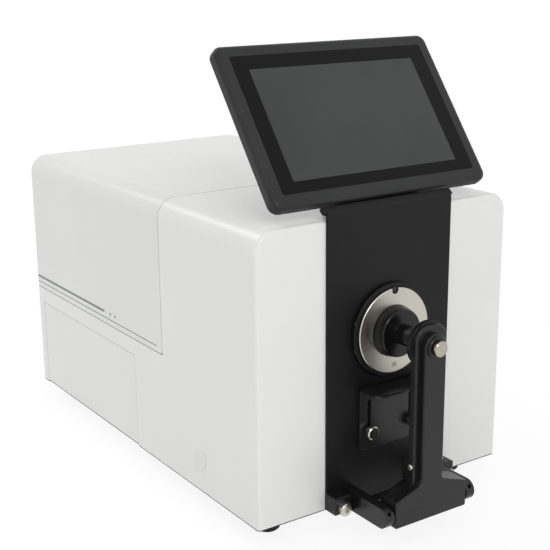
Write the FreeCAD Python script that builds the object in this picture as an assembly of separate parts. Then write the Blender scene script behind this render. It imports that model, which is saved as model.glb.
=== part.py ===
import FreeCAD, Part
import math
import os

from FreeCAD import Vector

# Benchtop sphere spectrophotometer: moulded housing, hood lid over the transmission chamber,
# front measuring port with a hinged and sprung sample clamp, height-adjustable shelf, tilting screen.
# Millimetres. X to the right, -Y is the front, Z up from the table.
# "reach" is measured forward of the white front face, "back" behind it, "rise" above the body's bottom.

# Fits and cuts
overrun = 1.0
fit_gap = 0.3
running_gap = 0.05
snug_gap = 0.02
seam = 0.8
touch = 0.001

# Body
body_width = 240.0
body_depth = 395.0
body_height = 226.5
shell_wall = 4.0
corner_radius = 16.0
face_round = 3.0
foot_height = 17.6
lid_back = 139.5
deck_height_share = 0.428
port_height_share = 0.5955
lid_corner_relief = 1.6

# Base plate and feet
base_recess = 1.0
base_thickness = 2.0
base_gap = 0.5
ledge_width = 8.0
ledge_thickness = 4.0
vent_length = 60.0
vent_width = 3.5
vent_pitch = 9.0
vent_count = 7
vent_back = 110.0
base_screw_radius = 1.5
base_screw_head_radius = 3.2
base_screw_head_height = 1.8
base_screw_shares = (0.03, 0.35, 0.65, 0.97)
foot_radius = 9.7
foot_top_radius = 11.5
foot_bevel = 1.5
foot_inset_x = 27.0
foot_inset_y = 29.5
foot_socket_radius = 4.5
foot_socket_depth = 5.0

# Side service panel and hole plugs
service_start = 189.5
service_end = 382.0
service_drop = 14.0
service_thickness = 2.2
service_gap = 0.5
service_lip = 6.0
service_bottom_gap = 1.0
plug_back = 83.0
plug_rise = 26.0
plug_stem_radius = 6.3
plug_stem_length = 7.0
plug_cap_radius = 8.0
plug_cap_height = 1.4
plug_cap_bevel = 0.7

# Rear connector panel
io_width = 168.0
io_rise = 13.0
io_headroom = 28.0
io_thickness = 1.6
io_lip = 7.0
io_gap = 0.4
io_corner = 4.0
io_screw_radius = 1.4
io_screw_head_radius = 2.8
io_screw_head_height = 1.6
io_screw_inset = 3.6
inlet_width = 27.0
inlet_height = 20.0
inlet_flange = 2.5
inlet_flange_thickness = 2.0
inlet_depth = 20.0
inlet_socket_wall = 1.6
inlet_socket_depth = 15.0
inlet_corner = 2.5
inlet_share = -0.33
switch_width = 15.0
switch_height = 22.0
switch_flange = 1.6
switch_flange_thickness = 1.6
switch_depth = 14.0
switch_wall = 1.2
switch_floor = 2.0
switch_share = -0.12
rocker_gap = 0.4
rocker_tilt = 9.0
rocker_rise = 1.6
rocker_dish = 1.4
rocker_depth = 6.0
rocker_pivot_depth = 1.8
rocker_axle_radius = 1.2
rocker_keel_share = 0.45
usb_width = 12.2
usb_height = 11.0
usb_depth = 14.0
usb_proud = 0.8
usb_wall = 1.0
usb_socket_depth = 9.0
usb_shares = (0.06, 0.18)
serial_width = 31.0
serial_height = 12.6
serial_thickness = 1.2
serial_shell_width = 17.0
serial_shell_height = 8.6
serial_shell_proud = 5.0
serial_shell_wall = 0.8
serial_slant_share = 0.12
serial_body_depth = 9.0
serial_post_radius = 2.2
serial_post_proud = 4.0
serial_post_spacing = 25.0
serial_share = 0.37

# Lid hinges and bumpers
hinge_spread = 70.0
hinge_width = 46.0
hinge_leaf_height = 20.0
hinge_leaf_thickness = 1.6
hinge_barrel_radius = 3.4
hinge_wall_gap = 0.8
hinge_pin_radius = 1.6
hinge_pin_head_radius = 2.6
hinge_pin_head_height = 0.8
hinge_knuckle_gap = 0.4
hinge_centre_share = 0.4
bumper_radius = 4.0
bumper_height = 2.3
tab_reach = 12.0
tab_width = 20.0
tab_thickness = 4.0

# Optics: the integrating sphere and its lamp
sphere_radius = 60.0
sphere_wall = 4.0
sphere_gap = 4.0
sphere_flange_width = 8.0
sphere_flange_thickness = 4.0
sphere_lug_width = 44.0
sphere_lug_drop = 10.0
neck_radius = 25.0
neck_bore_radius = 17.0
neck_hole_gap = 0.5
exit_neck_radius = 18.0
exit_bore_radius = 13.0
exit_neck_gap = 4.5
lamp_offset = 26.0
lamp_neck_radius = 14.0
lamp_bore_radius = 9.0
lamp_seat = 68.0
lamp_side_gap = 10.0
lamp_radius = 22.0
lamp_fin_count = 3
lamp_fin_depth = 5.0
lamp_fin_share = 0.5
bulb_radius = 6.0
bulb_length_share = 0.63
bulb_bevel = 3.0
stand_foot_width = 92.0
stand_foot_depth = 46.0
stand_foot_thickness = 5.0
stand_column_width = 70.0
stand_column_depth = 30.0

# Transmission chamber
exit_flange_radius = 25.0
exit_flange_thickness = 4.0
exit_tube_gap = 0.5
holder_gap = 3.5
holder_width = 72.0
holder_height = 72.0
holder_foot = 28.0
holder_sheet = 3.0
holder_bend = 3.5
holder_corner = 8.0
holder_hole_radius = 13.5
clip_width = 8.0
clip_length = 52.0
clip_sheet = 0.8
clip_bow = 4.0
clip_spread = 22.0
clip_foot_share = 0.22
clip_tip_share = 0.88
spectro_back = 262.0
spectro_width = 140.0
spectro_depth = 108.0
spectro_headroom = 30.0
spectro_wall = 4.0
spectro_cover_thickness = 3.0
spectro_cover_lip = 2.0
spectro_corner = 5.0
lens_tube_radius = 15.0
lens_tube_wall = 2.5
lens_tube_length = 22.0
lens_flange_radius = 20.0
lens_flange_thickness = 4.0
lens_thickness = 5.0
lens_crown = 2.0
lens_setback = 3.0

# Electronics
board_width = 180.0
board_depth = 105.0
board_thickness = 1.6
board_back = 232.0
board_lift = 10.0
board_inset = 6.0
standoff_radius = 3.0
chip_shares = ((-0.3, 0.3, 0.2, 0.3), (0.1, 0.55, 0.16, 0.28), (0.36, 0.3, 0.14, 0.5))
chip_height = 4.0
supply_width = 120.0
supply_depth = 66.0
supply_height = 34.0
supply_back = 150.0
supply_wall = 1.5
supply_slot_count = 8
supply_slot_width = 4.0
supply_slot_share = 0.6

# Front panel, port rim and aperture ring
panel_width = 118.4
panel_thickness = 2.0
panel_bend_rise = 4.4
panel_bend_radius = 2.5
panel_lip_angle = 50.0
panel_lip_length = 7.5
rim_radius = 37.0
rim_height = 4.0
rim_bore_radius = 20.0
rim_chamfer = 0.8
ring_radius = 33.5
ring_thickness = 4.0
ring_seat_depth = 2.0
ring_hole_radius = 15.0
ring_chamfer = 0.6
ring_notch_radius = 3.0
pin_radius = 2.4
pin_proud = 1.6
pin_bevel = 0.8

# Sample shelf and thumbscrews
shelf_width = 59.0
shelf_below_port = 41.95
shelf_reach = 23.0
shelf_sheet = 2.0
shelf_bend = 3.0
shelf_drop = 51.0
shelf_corner = 4.0
shelf_gap = 0.2
shelf_travel = 24.0
slot_spread = 20.6
slot_clear = 0.25
thumb_below_shelf = 36.2
thumb_shank_radius = 1.5
thumb_collar_radius = 3.0
thumb_collar_height = 2.2
thumb_head_radius = 5.2
thumb_head_height = 4.3
thumb_chamfer = 0.6

# Hinge brackets of the sample arm
bar_radius = 8.0
bar_thickness = 8.0
bar_inner = 36.0
pivot_reach = 47.0
pivot_rise = 8.0
flange_outer = 60.0
flange_reach = 14.0
flange_low = 0.0
flange_high = 14.0
bracket_round = 1.0
bracket_screw_spread = 52.5
bracket_screw_rise = 5.0
bracket_screw_radius = 2.5
bracket_screw_head_radius = 5.0
bracket_screw_head_height = 5.0
bracket_screw_bevel = 0.5
bracket_screw_socket_radius = 2.3
bracket_screw_socket_depth = 2.6
pivot_pin_radius = 3.0
pivot_pin_depth = 11.0
pivot_pin_seat_share = 0.75
set_screw_radius = 1.7
set_screw_angle = 35.0
set_screw_sink = 0.6
set_screw_socket_radius = 0.9
set_screw_socket_depth = 1.8

# Sample arm
arm_side_gap = 1.0
arm_base_depth = 18.0
arm_base_low = -1.0
arm_base_high = 20.0
arm_shoulder_rise = 28.5
arm_base_round = 1.5
rib_width = 20.0
rib_thickness = 5.0
rib_round = 1.0
rib_root_round = 5.0
plate_width = 29.0
plate_thickness = 7.0
plate_foot_rise = 14.0
plate_top = 15.2
plate_corner = 10.0
plate_round = 1.2
guide_radius = 17.5
guide_thickness = 4.0
guide_behind = 1.3
lug_height = 16.0
lug_round = 4.0
boss_radius = 8.5
boss_height = 2.0
boss_bevel = 0.5
arm_screw_rise = 41.0
arm_screw_radius = 1.25
arm_screw_head_radius = 2.4
arm_screw_head_height = 1.4
arm_screw_length = 6.0

# Sprung plunger
pad_radius = 20.2
pad_front_radius = 18.6
pad_thickness = 9.2
pad_rim_thickness = 8.4
pad_round = 1.0
pad_bevel = 0.8
pad_dish = 1.0
pad_dish_radius = 13.0
hub_radius = 8.0
hub_engage = 0.7
hub_bore_radius = 5.6
plunger_travel = 10.0
rod_radius = 3.0
rod_root = 5.0
knob_gap = 0.4
knob_radius = 6.0
knob_length = 3.6
knob_chamfer = 0.6
spring_radius = 4.4
spring_wire_radius = 0.5

# Screen
screen_tilt = 37.0
screen_pivot_back = 22.2
screen_pivot_rise = 10.6
glass_width = 180.8
glass_height = 113.5
glass_thickness = 1.6
glass_corner = 2.0
glass_gap = 0.25
bezel_margin = 10.6
bezel_corner = 7.5
bezel_edge_round = 4.0
bezel_thickness = 7.0
bezel_ledge = 6.0
cover_thickness = 5.0
cover_wall = 2.0
cover_edge_round = 3.6
display_gap = 1.5
display_thickness = 4.0
tilt_leaf_width = 60.0
tilt_leaf_height = 46.0
tilt_leaf_thickness = 2.0
tilt_leaf_corner = 5.0
tilt_barrel_radius = 4.0
tilt_pin_radius = 2.5
tilt_pin_proud = 0.6
tilt_ear_thickness = 8.0
tilt_ear_gap = 0.5
tilt_ear_radius = 5.0
tilt_ear_base = 12.0
tilt_foot_thickness = 2.5
tilt_foot_width = 80.0
tilt_foot_start = 8.0
tilt_foot_end = 34.0
tilt_foot_corner = 5.0
tilt_screw_radius = 1.7
tilt_screw_head_radius = 3.4
tilt_screw_head_height = 1.2
tilt_screw_spread = 20.0
tilt_screw_inset = 6.0

# Levels and planes worked out from the sizes above
half_width = body_width / 2
inner_half = half_width - shell_wall
body_bottom = foot_height
body_top = body_bottom + body_height
deck_z = body_bottom + deck_height_share * body_height
port_z = body_bottom + port_height_share * body_height
arm_front_reach = pivot_reach + bar_radius
clamp_reach = arm_front_reach + boss_height + knob_gap + knob_length
hinge_axis_back = hinge_wall_gap + hinge_barrel_radius
rear_reach = hinge_axis_back + hinge_barrel_radius
front_y = clamp_reach - (clamp_reach + body_depth + rear_reach) / 2
rear_y = front_y + body_depth
lid_y = front_y + lid_back
base_top_z = body_bottom + base_recess + base_thickness
panel_front_y = front_y - panel_thickness
rim_front_y = panel_front_y - rim_height
ring_front_y = rim_front_y + ring_seat_depth - ring_thickness
sphere_y = front_y + shell_wall + sphere_gap + sphere_radius
pivot_y = front_y - pivot_reach
pivot_z = body_bottom + pivot_rise
arm_front_y = front_y - arm_front_reach
rib_back_y = arm_front_y + rib_thickness
plate_back_y = rib_back_y + plate_thickness
hub_end_y = plate_back_y - hub_engage
hub_bore_end_y = hub_end_y - plunger_travel - fit_gap
screen_pivot_y = front_y + screen_pivot_back
screen_pivot_z = body_top + screen_pivot_rise
tablet_thickness = bezel_thickness + cover_thickness
hinge_axis_y = rear_y + hinge_axis_back
hinge_axis_z = deck_z + seam / 2
arc_middle_share = 1 - math.sqrt(1 / 2)
X_AXIS = Vector(1, 0, 0)
Y_AXIS = Vector(0, 1, 0)
Z_AXIS = Vector(0, 0, 1)


def block(x0, x1, y0, y1, z0, z1):
    return Part.makeBox(x1 - x0, y1 - y0, z1 - z0, Vector(x0, y0, z0))


def bar_x(radius, x0, x1, y, z):
    return Part.makeCylinder(radius, x1 - x0, Vector(x0, y, z), X_AXIS)


def bar_y(radius, y0, y1, x, z):
    return Part.makeCylinder(radius, y1 - y0, Vector(x, y0, z), Y_AXIS)


def bar_z(radius, z0, z1, x, y):
    return Part.makeCylinder(radius, z1 - z0, Vector(x, y, z0), Z_AXIS)


def closed_face(start, *steps):
    """Face inside a closed outline. A step is a point to draw a line to, or (middle, end) of an arc."""
    edges = []
    here = start
    for step in steps + (start,):
        if isinstance(step, tuple):
            edges.append(Part.Arc(here, step[0], step[1]).toShape())
            here = step[1]
        elif (step - here).Length > touch:
            edges.append(Part.LineSegment(here, step).toShape())
            here = step
    return Part.Face(Part.Wire(edges))


def blend(before, corner, after, radius):
    """Arc that rounds the corner between two lines: its start, then its (middle, end)."""
    to_before = (before - corner).normalize()
    to_after = (after - corner).normalize()
    half_angle = to_before.getAngle(to_after) / 2
    reach = radius / math.tan(half_angle)
    inward = (to_before + to_after).normalize()
    middle = corner + inward * (radius / math.sin(half_angle) - radius)
    return corner + to_before * reach, (middle, corner + to_after * reach)


def edges_at(shape, axis, value):
    """Edges that lie whole in the plane where the axis has this value."""
    low, high = axis + "Min", axis + "Max"
    return [edge for edge in shape.Edges
            if abs(getattr(edge.BoundBox, low) - value) < touch
            and abs(getattr(edge.BoundBox, high) - value) < touch]


def turned(points, x, z):
    """Solid of revolution about a line along Y. A point is (radius, y), or a pair of them for an arc."""
    def place(point):
        if isinstance(point[0], tuple):
            return tuple(place(part) for part in point)
        return Vector(x + point[0], point[1], z)
    face = closed_face(*[place(point) for point in points])
    return face.revolve(Vector(x, 0, z), Y_AXIS, 360)


def rounded_plate(x0, x1, y0, y1, z0, z1, radius):
    """Upright plate, thick along Y, with rounded corners."""
    plate = block(x0, x1, y0, y1, z0, z1)
    corners = [edge for edge in plate.Edges if edge.BoundBox.YLength > max(edge.BoundBox.XLength, touch)
               and edge.BoundBox.ZLength < touch]
    return plate.makeFillet(radius, corners)


def rounded_slab(x0, x1, y0, y1, z0, z1, radius):
    """Lying plate, thick along Z, with rounded corners."""
    slab = block(x0, x1, y0, y1, z0, z1)
    corners = [edge for edge in slab.Edges if edge.BoundBox.XLength < touch and edge.BoundBox.YLength < touch]
    return slab.makeFillet(radius, corners)


def hood(width, low, high, radius, y0, y1):
    """Inverted U bar along Y with rounded upper corners."""
    half = width / 2
    bend = radius * arc_middle_share
    face = closed_face(
        Vector(-half, y0, low),
        Vector(-half, y0, high - radius),
        (Vector(bend - half, y0, high - bend), Vector(radius - half, y0, high)),
        Vector(half - radius, y0, high),
        (Vector(half - bend, y0, high - bend), Vector(half, y0, high - radius)),
        Vector(half, y0, low))
    return face.extrude(Vector(0, y1 - y0, 0))


def pan_screw(head_radius, head_height, shank_radius, shank_length):
    """Screw along +Z with its seat at the origin and a bevelled head above it."""
    head = bar_z(head_radius, 0, head_height, 0, 0)
    head = head.makeChamfer(head_height / 2, edges_at(head, "Z", head_height))
    return head.fuse(bar_z(shank_radius, -shank_length, 0, 0, 0)).removeSplitter()


def hex_socket(radius, top, depth):
    """Six-sided key socket along Z, open at the top."""
    corners = []
    for i in range(6):
        angle = math.radians(60 * i)
        corners.append(Vector(radius * math.cos(angle), radius * math.sin(angle), top - depth))
    return Part.Face(Part.makePolygon(corners + corners[:1])).extrude(Vector(0, 0, depth + overrun))


def pointed(shape, direction, place):
    """Copy of a shape made along +Z, turned to a direction and moved to a place."""
    copy = shape.copy()
    copy.Placement = FreeCAD.Placement(place, FreeCAD.Rotation(Z_AXIS, direction))
    return copy


def mirrored(shape):
    return shape.mirror(Vector(0, 0, 0), X_AXIS)


def both_sides(shape):
    return Part.makeCompound([shape, mirrored(shape)])


# Housing, base and trim

def io_place(share):
    return share * io_width


io_low_z = body_bottom + io_rise
io_high_z = deck_z - io_headroom
io_mid_z = (io_low_z + io_high_z) / 2
io_seat_y = rear_y - io_thickness
service_y0 = front_y + service_start
service_y1 = front_y + service_end
service_high_z = deck_z - service_drop
plug_y = front_y + plug_back
plug_z = body_bottom + plug_rise
rocker_y = rear_y + switch_flange_thickness - rocker_pivot_depth


def tilt_screw_places():
    return [(side * tilt_screw_spread, front_y + back) for side in (-1, 1)
            for back in (tilt_foot_start + tilt_screw_inset, tilt_foot_end - tilt_screw_inset)]


def io_screw_places():
    half = io_width / 2 - io_screw_inset
    return [(side * half, z) for side in (-1, 1)
            for z in (io_low_z + io_screw_inset, io_high_z - io_screw_inset)]


def base_screw_places():
    x = inner_half - ledge_width / 2
    start = front_y + shell_wall + ledge_width / 2
    length = body_depth - 2 * shell_wall - ledge_width
    return [(side * x, start + share * length) for side in (-1, 1) for share in base_screw_shares]


def main_housing():
    front_part = hood(body_width, body_bottom, body_top, corner_radius, front_y, lid_y)
    rear_part = block(-half_width, half_width, lid_y, rear_y, body_bottom, deck_z)
    outer = front_part.fuse(rear_part).removeSplitter()
    rims = [edge for edge in edges_at(outer, "Y", front_y) if edge.BoundBox.ZMax > body_bottom + touch]
    rims += [edge for edge in edges_at(outer, "Y", rear_y) if edge.BoundBox.XLength < touch]
    outer = outer.makeFillet(face_round, rims)
    front_room = hood(2 * inner_half, body_bottom - overrun, body_top - shell_wall,
                      corner_radius - shell_wall, front_y + shell_wall, lid_y - shell_wall)
    rear_room = block(-inner_half, inner_half, front_y + shell_wall, rear_y - shell_wall,
                      body_bottom - overrun, deck_z - shell_wall)
    ledge_in = inner_half - ledge_width
    ledge = block(-inner_half, inner_half, front_y + shell_wall, rear_y - shell_wall,
                  base_top_z, base_top_z + ledge_thickness)
    ledge = ledge.cut(block(-ledge_in, ledge_in, front_y + shell_wall + ledge_width,
                            rear_y - shell_wall - ledge_width,
                            base_top_z - overrun, base_top_z + ledge_thickness + overrun))
    shell = outer.cut(front_room.fuse(rear_room)).fuse(ledge).removeSplitter()
    service_seat_x = service_thickness - half_width
    window_low = base_top_z + ledge_thickness + service_lip
    cuts = [
        bar_y(neck_radius + neck_hole_gap, front_y - overrun, front_y + shell_wall + overrun, 0, port_z),
        bar_y(exit_neck_radius + exit_tube_gap, lid_y - shell_wall - overrun, lid_y + overrun, 0, port_z),
        block(-half_width - overrun, service_seat_x, service_y0, service_y1,
              body_bottom - overrun, service_high_z),
        block(-half_width - overrun, overrun - inner_half, service_y0 + service_lip, service_y1 - service_lip,
              window_low, service_high_z - service_lip),
        bar_x(plug_stem_radius + snug_gap, -half_width - overrun, half_width + overrun, plug_y, plug_z),
        rounded_plate(-io_width / 2, io_width / 2, io_seat_y, rear_y + overrun, io_low_z, io_high_z,
                      io_corner),
        block(io_lip - io_width / 2, io_width / 2 - io_lip, rear_y - shell_wall - overrun, rear_y,
              io_low_z + io_lip, io_high_z - io_lip)]
    cuts += [bar_z(tilt_screw_radius + snug_gap, body_top - shell_wall - overrun, body_top + overrun, x, y)
             for x, y in tilt_screw_places()]
    cuts += [bar_y(io_screw_radius + snug_gap, rear_y - shell_wall - overrun, rear_y, x, z)
             for x, z in io_screw_places()]
    cuts += [bar_z(base_screw_radius + snug_gap, base_top_z - overrun, base_top_z + ledge_thickness, x, y)
             for x, y in base_screw_places()]
    return shell.cut(cuts)


def base_plate():
    low, high = body_bottom + base_recess, base_top_z
    half = inner_half - base_gap
    plate = block(-half, half, front_y + shell_wall + base_gap, rear_y - shell_wall - base_gap, low, high)
    first = front_y + vent_back
    vents = []
    for i in range(vent_count):
        y = first + i * vent_pitch
        for side in (-1, 1):
            x = side * half / 2
            vents.append(block(x - vent_length / 2, x + vent_length / 2, y, y + vent_width,
                               low - overrun, high + overrun))
    holes = [bar_z(base_screw_radius + snug_gap, low - overrun, high + overrun, x, y)
             for x, y in base_screw_places()]
    return plate.cut(vents + holes)


def base_screws():
    screw = pan_screw(base_screw_head_radius, base_screw_head_height, base_screw_radius,
                      base_thickness + ledge_thickness - fit_gap)
    low = body_bottom + base_recess
    return Part.makeCompound([pointed(screw, -Z_AXIS, Vector(x, y, low)) for x, y in base_screw_places()])


def rubber_feet():
    top = body_bottom + base_recess
    cone = Part.makeCone(foot_radius, foot_top_radius, top)
    cone = cone.makeChamfer(foot_bevel, edges_at(cone, "Z", 0))
    foot = cone.cut(bar_z(foot_socket_radius, -overrun, foot_socket_depth, 0, 0))
    feet = []
    for x in (foot_inset_x - half_width, half_width - foot_inset_x):
        for y in (front_y + foot_inset_y, rear_y - foot_inset_y):
            feet.append(foot.translated(Vector(x, y, 0)))
    return Part.makeCompound(feet)


def side_service_panel():
    plate = block(-half_width, service_thickness - half_width,
                  service_y0 + service_gap, service_y1 - service_gap,
                  body_bottom + service_bottom_gap, service_high_z - service_gap)
    return plate.makeFillet(service_gap, edges_at(plate, "X", -half_width))


def side_plugs():
    cap = bar_z(plug_cap_radius, 0, plug_cap_height, 0, 0)
    cap = cap.makeChamfer(plug_cap_bevel, edges_at(cap, "Z", plug_cap_height))
    plug = cap.fuse(bar_z(plug_stem_radius, -plug_stem_length, 0, 0, 0)).removeSplitter()
    return both_sides(pointed(plug, X_AXIS, Vector(half_width, plug_y, plug_z)))


# Rear connector panel

def opening_y(share, width, height, y0, y1):
    """Block for a connector cut-out or body, centred on the connector's place along the panel."""
    x = io_place(share)
    return block(x - width / 2, x + width / 2, y0, y1, io_mid_z - height / 2, io_mid_z + height / 2)


def rear_io_panel():
    half = io_width / 2 - io_gap
    plate = rounded_plate(-half, half, io_seat_y, rear_y, io_low_z + io_gap, io_high_z - io_gap,
                          io_corner - io_gap)
    low, high = io_seat_y - overrun, rear_y + overrun
    cuts = [bar_y(io_screw_radius + snug_gap, low, high, x, z) for x, z in io_screw_places()]
    cuts.append(opening_y(inlet_share, inlet_width, inlet_height, low, high))
    cuts.append(opening_y(switch_share, switch_width, switch_height, low, high))
    for share in usb_shares:
        cuts.append(opening_y(share, usb_width, usb_height, low, high))
    cuts.append(opening_y(serial_share, serial_shell_width, serial_shell_height, low, high))
    return plate.cut(cuts)


def io_panel_screws():
    screw = pan_screw(io_screw_head_radius, io_screw_head_height, io_screw_radius, shell_wall - snug_gap)
    return Part.makeCompound([pointed(screw, Y_AXIS, Vector(x, rear_y, z)) for x, z in io_screw_places()])


def power_inlet():
    wide, tall = inlet_width + 2 * inlet_flange, inlet_height + 2 * inlet_flange
    x = io_place(inlet_share)
    flange = rounded_plate(x - wide / 2, x + wide / 2, rear_y, rear_y + inlet_flange_thickness,
                           io_mid_z - tall / 2, io_mid_z + tall / 2, inlet_corner)
    body = opening_y(inlet_share, inlet_width - snug_gap, inlet_height - snug_gap, rear_y - inlet_depth,
                     rear_y)
    outer_y = rear_y + inlet_flange_thickness
    socket_wide = inlet_width - 2 * inlet_socket_wall
    socket_tall = inlet_height - 2 * inlet_socket_wall
    socket = rounded_plate(x - socket_wide / 2, x + socket_wide / 2,
                           outer_y - inlet_socket_depth, outer_y + overrun,
                           io_mid_z - socket_tall / 2, io_mid_z + socket_tall / 2, inlet_corner)
    return flange.fuse(body).removeSplitter().cut(socket)


def switch_frame():
    wide, tall = switch_width + 2 * switch_flange, switch_height + 2 * switch_flange
    flange = opening_y(switch_share, wide, tall, rear_y, rear_y + switch_flange_thickness)
    body = opening_y(switch_share, switch_width - snug_gap, switch_height - snug_gap, rear_y - switch_depth,
                     rear_y)
    room = opening_y(switch_share, switch_width - 2 * switch_wall, switch_height - 2 * switch_wall,
                     rear_y - switch_depth + switch_floor, rear_y + switch_flange_thickness + overrun)
    x = io_place(switch_share)
    half = switch_width / 2
    axle = bar_x(rocker_axle_radius, x - half + switch_wall, x + half - switch_wall, rocker_y, io_mid_z)
    return flange.fuse(body).removeSplitter().cut(room).fuse(axle)


def power_switch():
    """Rocker with a dished face, tipped about the axle through its middle."""
    half = switch_height / 2 - switch_wall - 2 * rocker_gap
    side = switch_width / 2 - switch_wall - rocker_gap
    x = io_place(switch_share)
    face_y = rocker_y + rocker_pivot_depth + rocker_rise
    keel = rocker_keel_share * half
    outline = closed_face(
        Vector(x - side, face_y, io_mid_z - half),
        (Vector(x - side, face_y - rocker_dish, io_mid_z), Vector(x - side, face_y, io_mid_z + half)),
        Vector(x - side, rocker_y, io_mid_z + half),
        Vector(x - side, face_y - rocker_depth, io_mid_z + keel),
        Vector(x - side, face_y - rocker_depth, io_mid_z - keel),
        Vector(x - side, rocker_y, io_mid_z - half))
    rocker = outline.extrude(Vector(2 * side, 0, 0))
    rocker = rocker.cut(bar_x(rocker_axle_radius + running_gap, x - side - overrun, x + side + overrun,
                              rocker_y, io_mid_z))
    rocker.rotate(Vector(x, rocker_y, io_mid_z), X_AXIS, rocker_tilt)
    return rocker


def usb_ports():
    ports = []
    for share in usb_shares:
        body = opening_y(share, usb_width - snug_gap, usb_height - snug_gap, rear_y - usb_depth,
                         rear_y + usb_proud)
        socket = opening_y(share, usb_width - 2 * usb_wall, usb_height - 2 * usb_wall,
                           rear_y + usb_proud - usb_socket_depth, rear_y + usb_proud + overrun)
        tongue = opening_y(share, usb_width - 4 * usb_wall, 2 * usb_wall,
                           rear_y + usb_proud - usb_socket_depth, rear_y - usb_proud)
        ports.append(body.cut(socket).fuse(tongue))
    return Part.makeCompound(ports)


def serial_face(width, height, y):
    """D outline of a nine-way connector, its upper side the longer one."""
    x = io_place(serial_share)
    slant = serial_slant_share * width
    return closed_face(
        Vector(x - width / 2, y, io_mid_z + height / 2),
        Vector(x + width / 2, y, io_mid_z + height / 2),
        Vector(x + width / 2 - slant, y, io_mid_z - height / 2),
        Vector(x - width / 2 + slant, y, io_mid_z - height / 2))


def serial_port():
    x = io_place(serial_share)
    flange = opening_y(serial_share, serial_width, serial_height, rear_y, rear_y + serial_thickness)
    face = serial_face(serial_shell_width - snug_gap, serial_shell_height - snug_gap,
                       rear_y - serial_body_depth)
    shell = face.extrude(Vector(0, serial_body_depth + serial_thickness + serial_shell_proud, 0))
    wall = 2 * serial_shell_wall
    hollow = serial_face(serial_shell_width - wall, serial_shell_height - wall, rear_y + serial_thickness)
    port = flange.fuse(shell).cut(hollow.extrude(Vector(0, serial_shell_proud + overrun, 0)))
    post_y = rear_y + serial_thickness
    posts = [bar_y(serial_post_radius, post_y, post_y + serial_post_proud,
                   x + side * serial_post_spacing / 2, io_mid_z) for side in (-1, 1)]
    return port.fuse(posts).removeSplitter()


# Hood lid and its hinges

def lid():
    low = deck_z + seam
    start = lid_y + seam
    outer = hood(body_width, low, body_top, corner_radius, start, rear_y)
    rims = [edge for edge in edges_at(outer, "Y", rear_y) if edge.BoundBox.ZMax > low + touch]
    outer = outer.makeFillet(face_round, rims)
    room = hood(2 * inner_half, low - overrun, body_top - shell_wall, corner_radius - shell_wall,
                start - overrun, rear_y - shell_wall)
    shell = outer.cut(room)
    tab_low = deck_z + bumper_height + fit_gap
    tab = block(inner_half - tab_reach, inner_half, start, start + tab_width, tab_low,
                tab_low + tab_thickness)
    relief = bar_x(lid_corner_relief, -half_width - overrun, half_width + overrun, start, low)
    return shell.fuse([tab, mirrored(tab)]).removeSplitter().cut(relief)


def lid_bumpers():
    start = lid_y + seam
    return both_sides(bar_z(bumper_radius, deck_z, deck_z + bumper_height,
                            inner_half - tab_reach / 2, start + tab_width / 2))


hinge_x0 = hinge_spread - hinge_width / 2
hinge_x1 = hinge_spread + hinge_width / 2
hinge_mid_half = hinge_centre_share * hinge_width / 2


def knuckle(x0, x1, side):
    """Hinge barrel with its web on the upper (side 1) or lower (side -1) leaf."""
    web_z = sorted((hinge_axis_z, hinge_axis_z + side * 2 * hinge_barrel_radius))
    web = block(x0, x1, rear_y + hinge_wall_gap, rear_y + hinge_wall_gap + hinge_leaf_thickness, *web_z)
    return bar_x(hinge_barrel_radius, x0, x1, hinge_axis_y, hinge_axis_z).fuse(web)


def hinge_leaf(side):
    """Leaf screwed to the rear wall, above or below the hinge line, standing on a raised pad."""
    near = hinge_axis_z + side * (hinge_barrel_radius + seam)
    far = hinge_axis_z + side * (hinge_barrel_radius + hinge_leaf_height)
    leaf_z = sorted((near, far))
    return block(hinge_x0, hinge_x1, rear_y, rear_y + hinge_wall_gap + hinge_leaf_thickness, *leaf_z)


def hinge_bore():
    return bar_x(hinge_pin_radius + running_gap, hinge_x0 - overrun, hinge_x1 + overrun, hinge_axis_y,
                 hinge_axis_z)


def lid_hinge_lower_leaves():
    left = knuckle(hinge_x0, hinge_spread - hinge_mid_half - hinge_knuckle_gap, -1)
    right = knuckle(hinge_spread + hinge_mid_half + hinge_knuckle_gap, hinge_x1, -1)
    return both_sides(hinge_leaf(-1).fuse([left, right]).removeSplitter().cut(hinge_bore()))


def lid_hinge_upper_leaves():
    middle = knuckle(hinge_spread - hinge_mid_half, hinge_spread + hinge_mid_half, 1)
    return both_sides(hinge_leaf(1).fuse(middle).removeSplitter().cut(hinge_bore()))


def lid_hinge_pins():
    pin = bar_x(hinge_pin_radius, hinge_x0, hinge_x1, hinge_axis_y, hinge_axis_z)
    heads = [bar_x(hinge_pin_head_radius, hinge_x0 - hinge_pin_head_height, hinge_x0, hinge_axis_y,
                   hinge_axis_z),
             bar_x(hinge_pin_head_radius, hinge_x1, hinge_x1 + hinge_pin_head_height, hinge_axis_y,
                   hinge_axis_z)]
    return both_sides(pin.fuse(heads).removeSplitter())


# Integrating sphere and lamp

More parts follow.
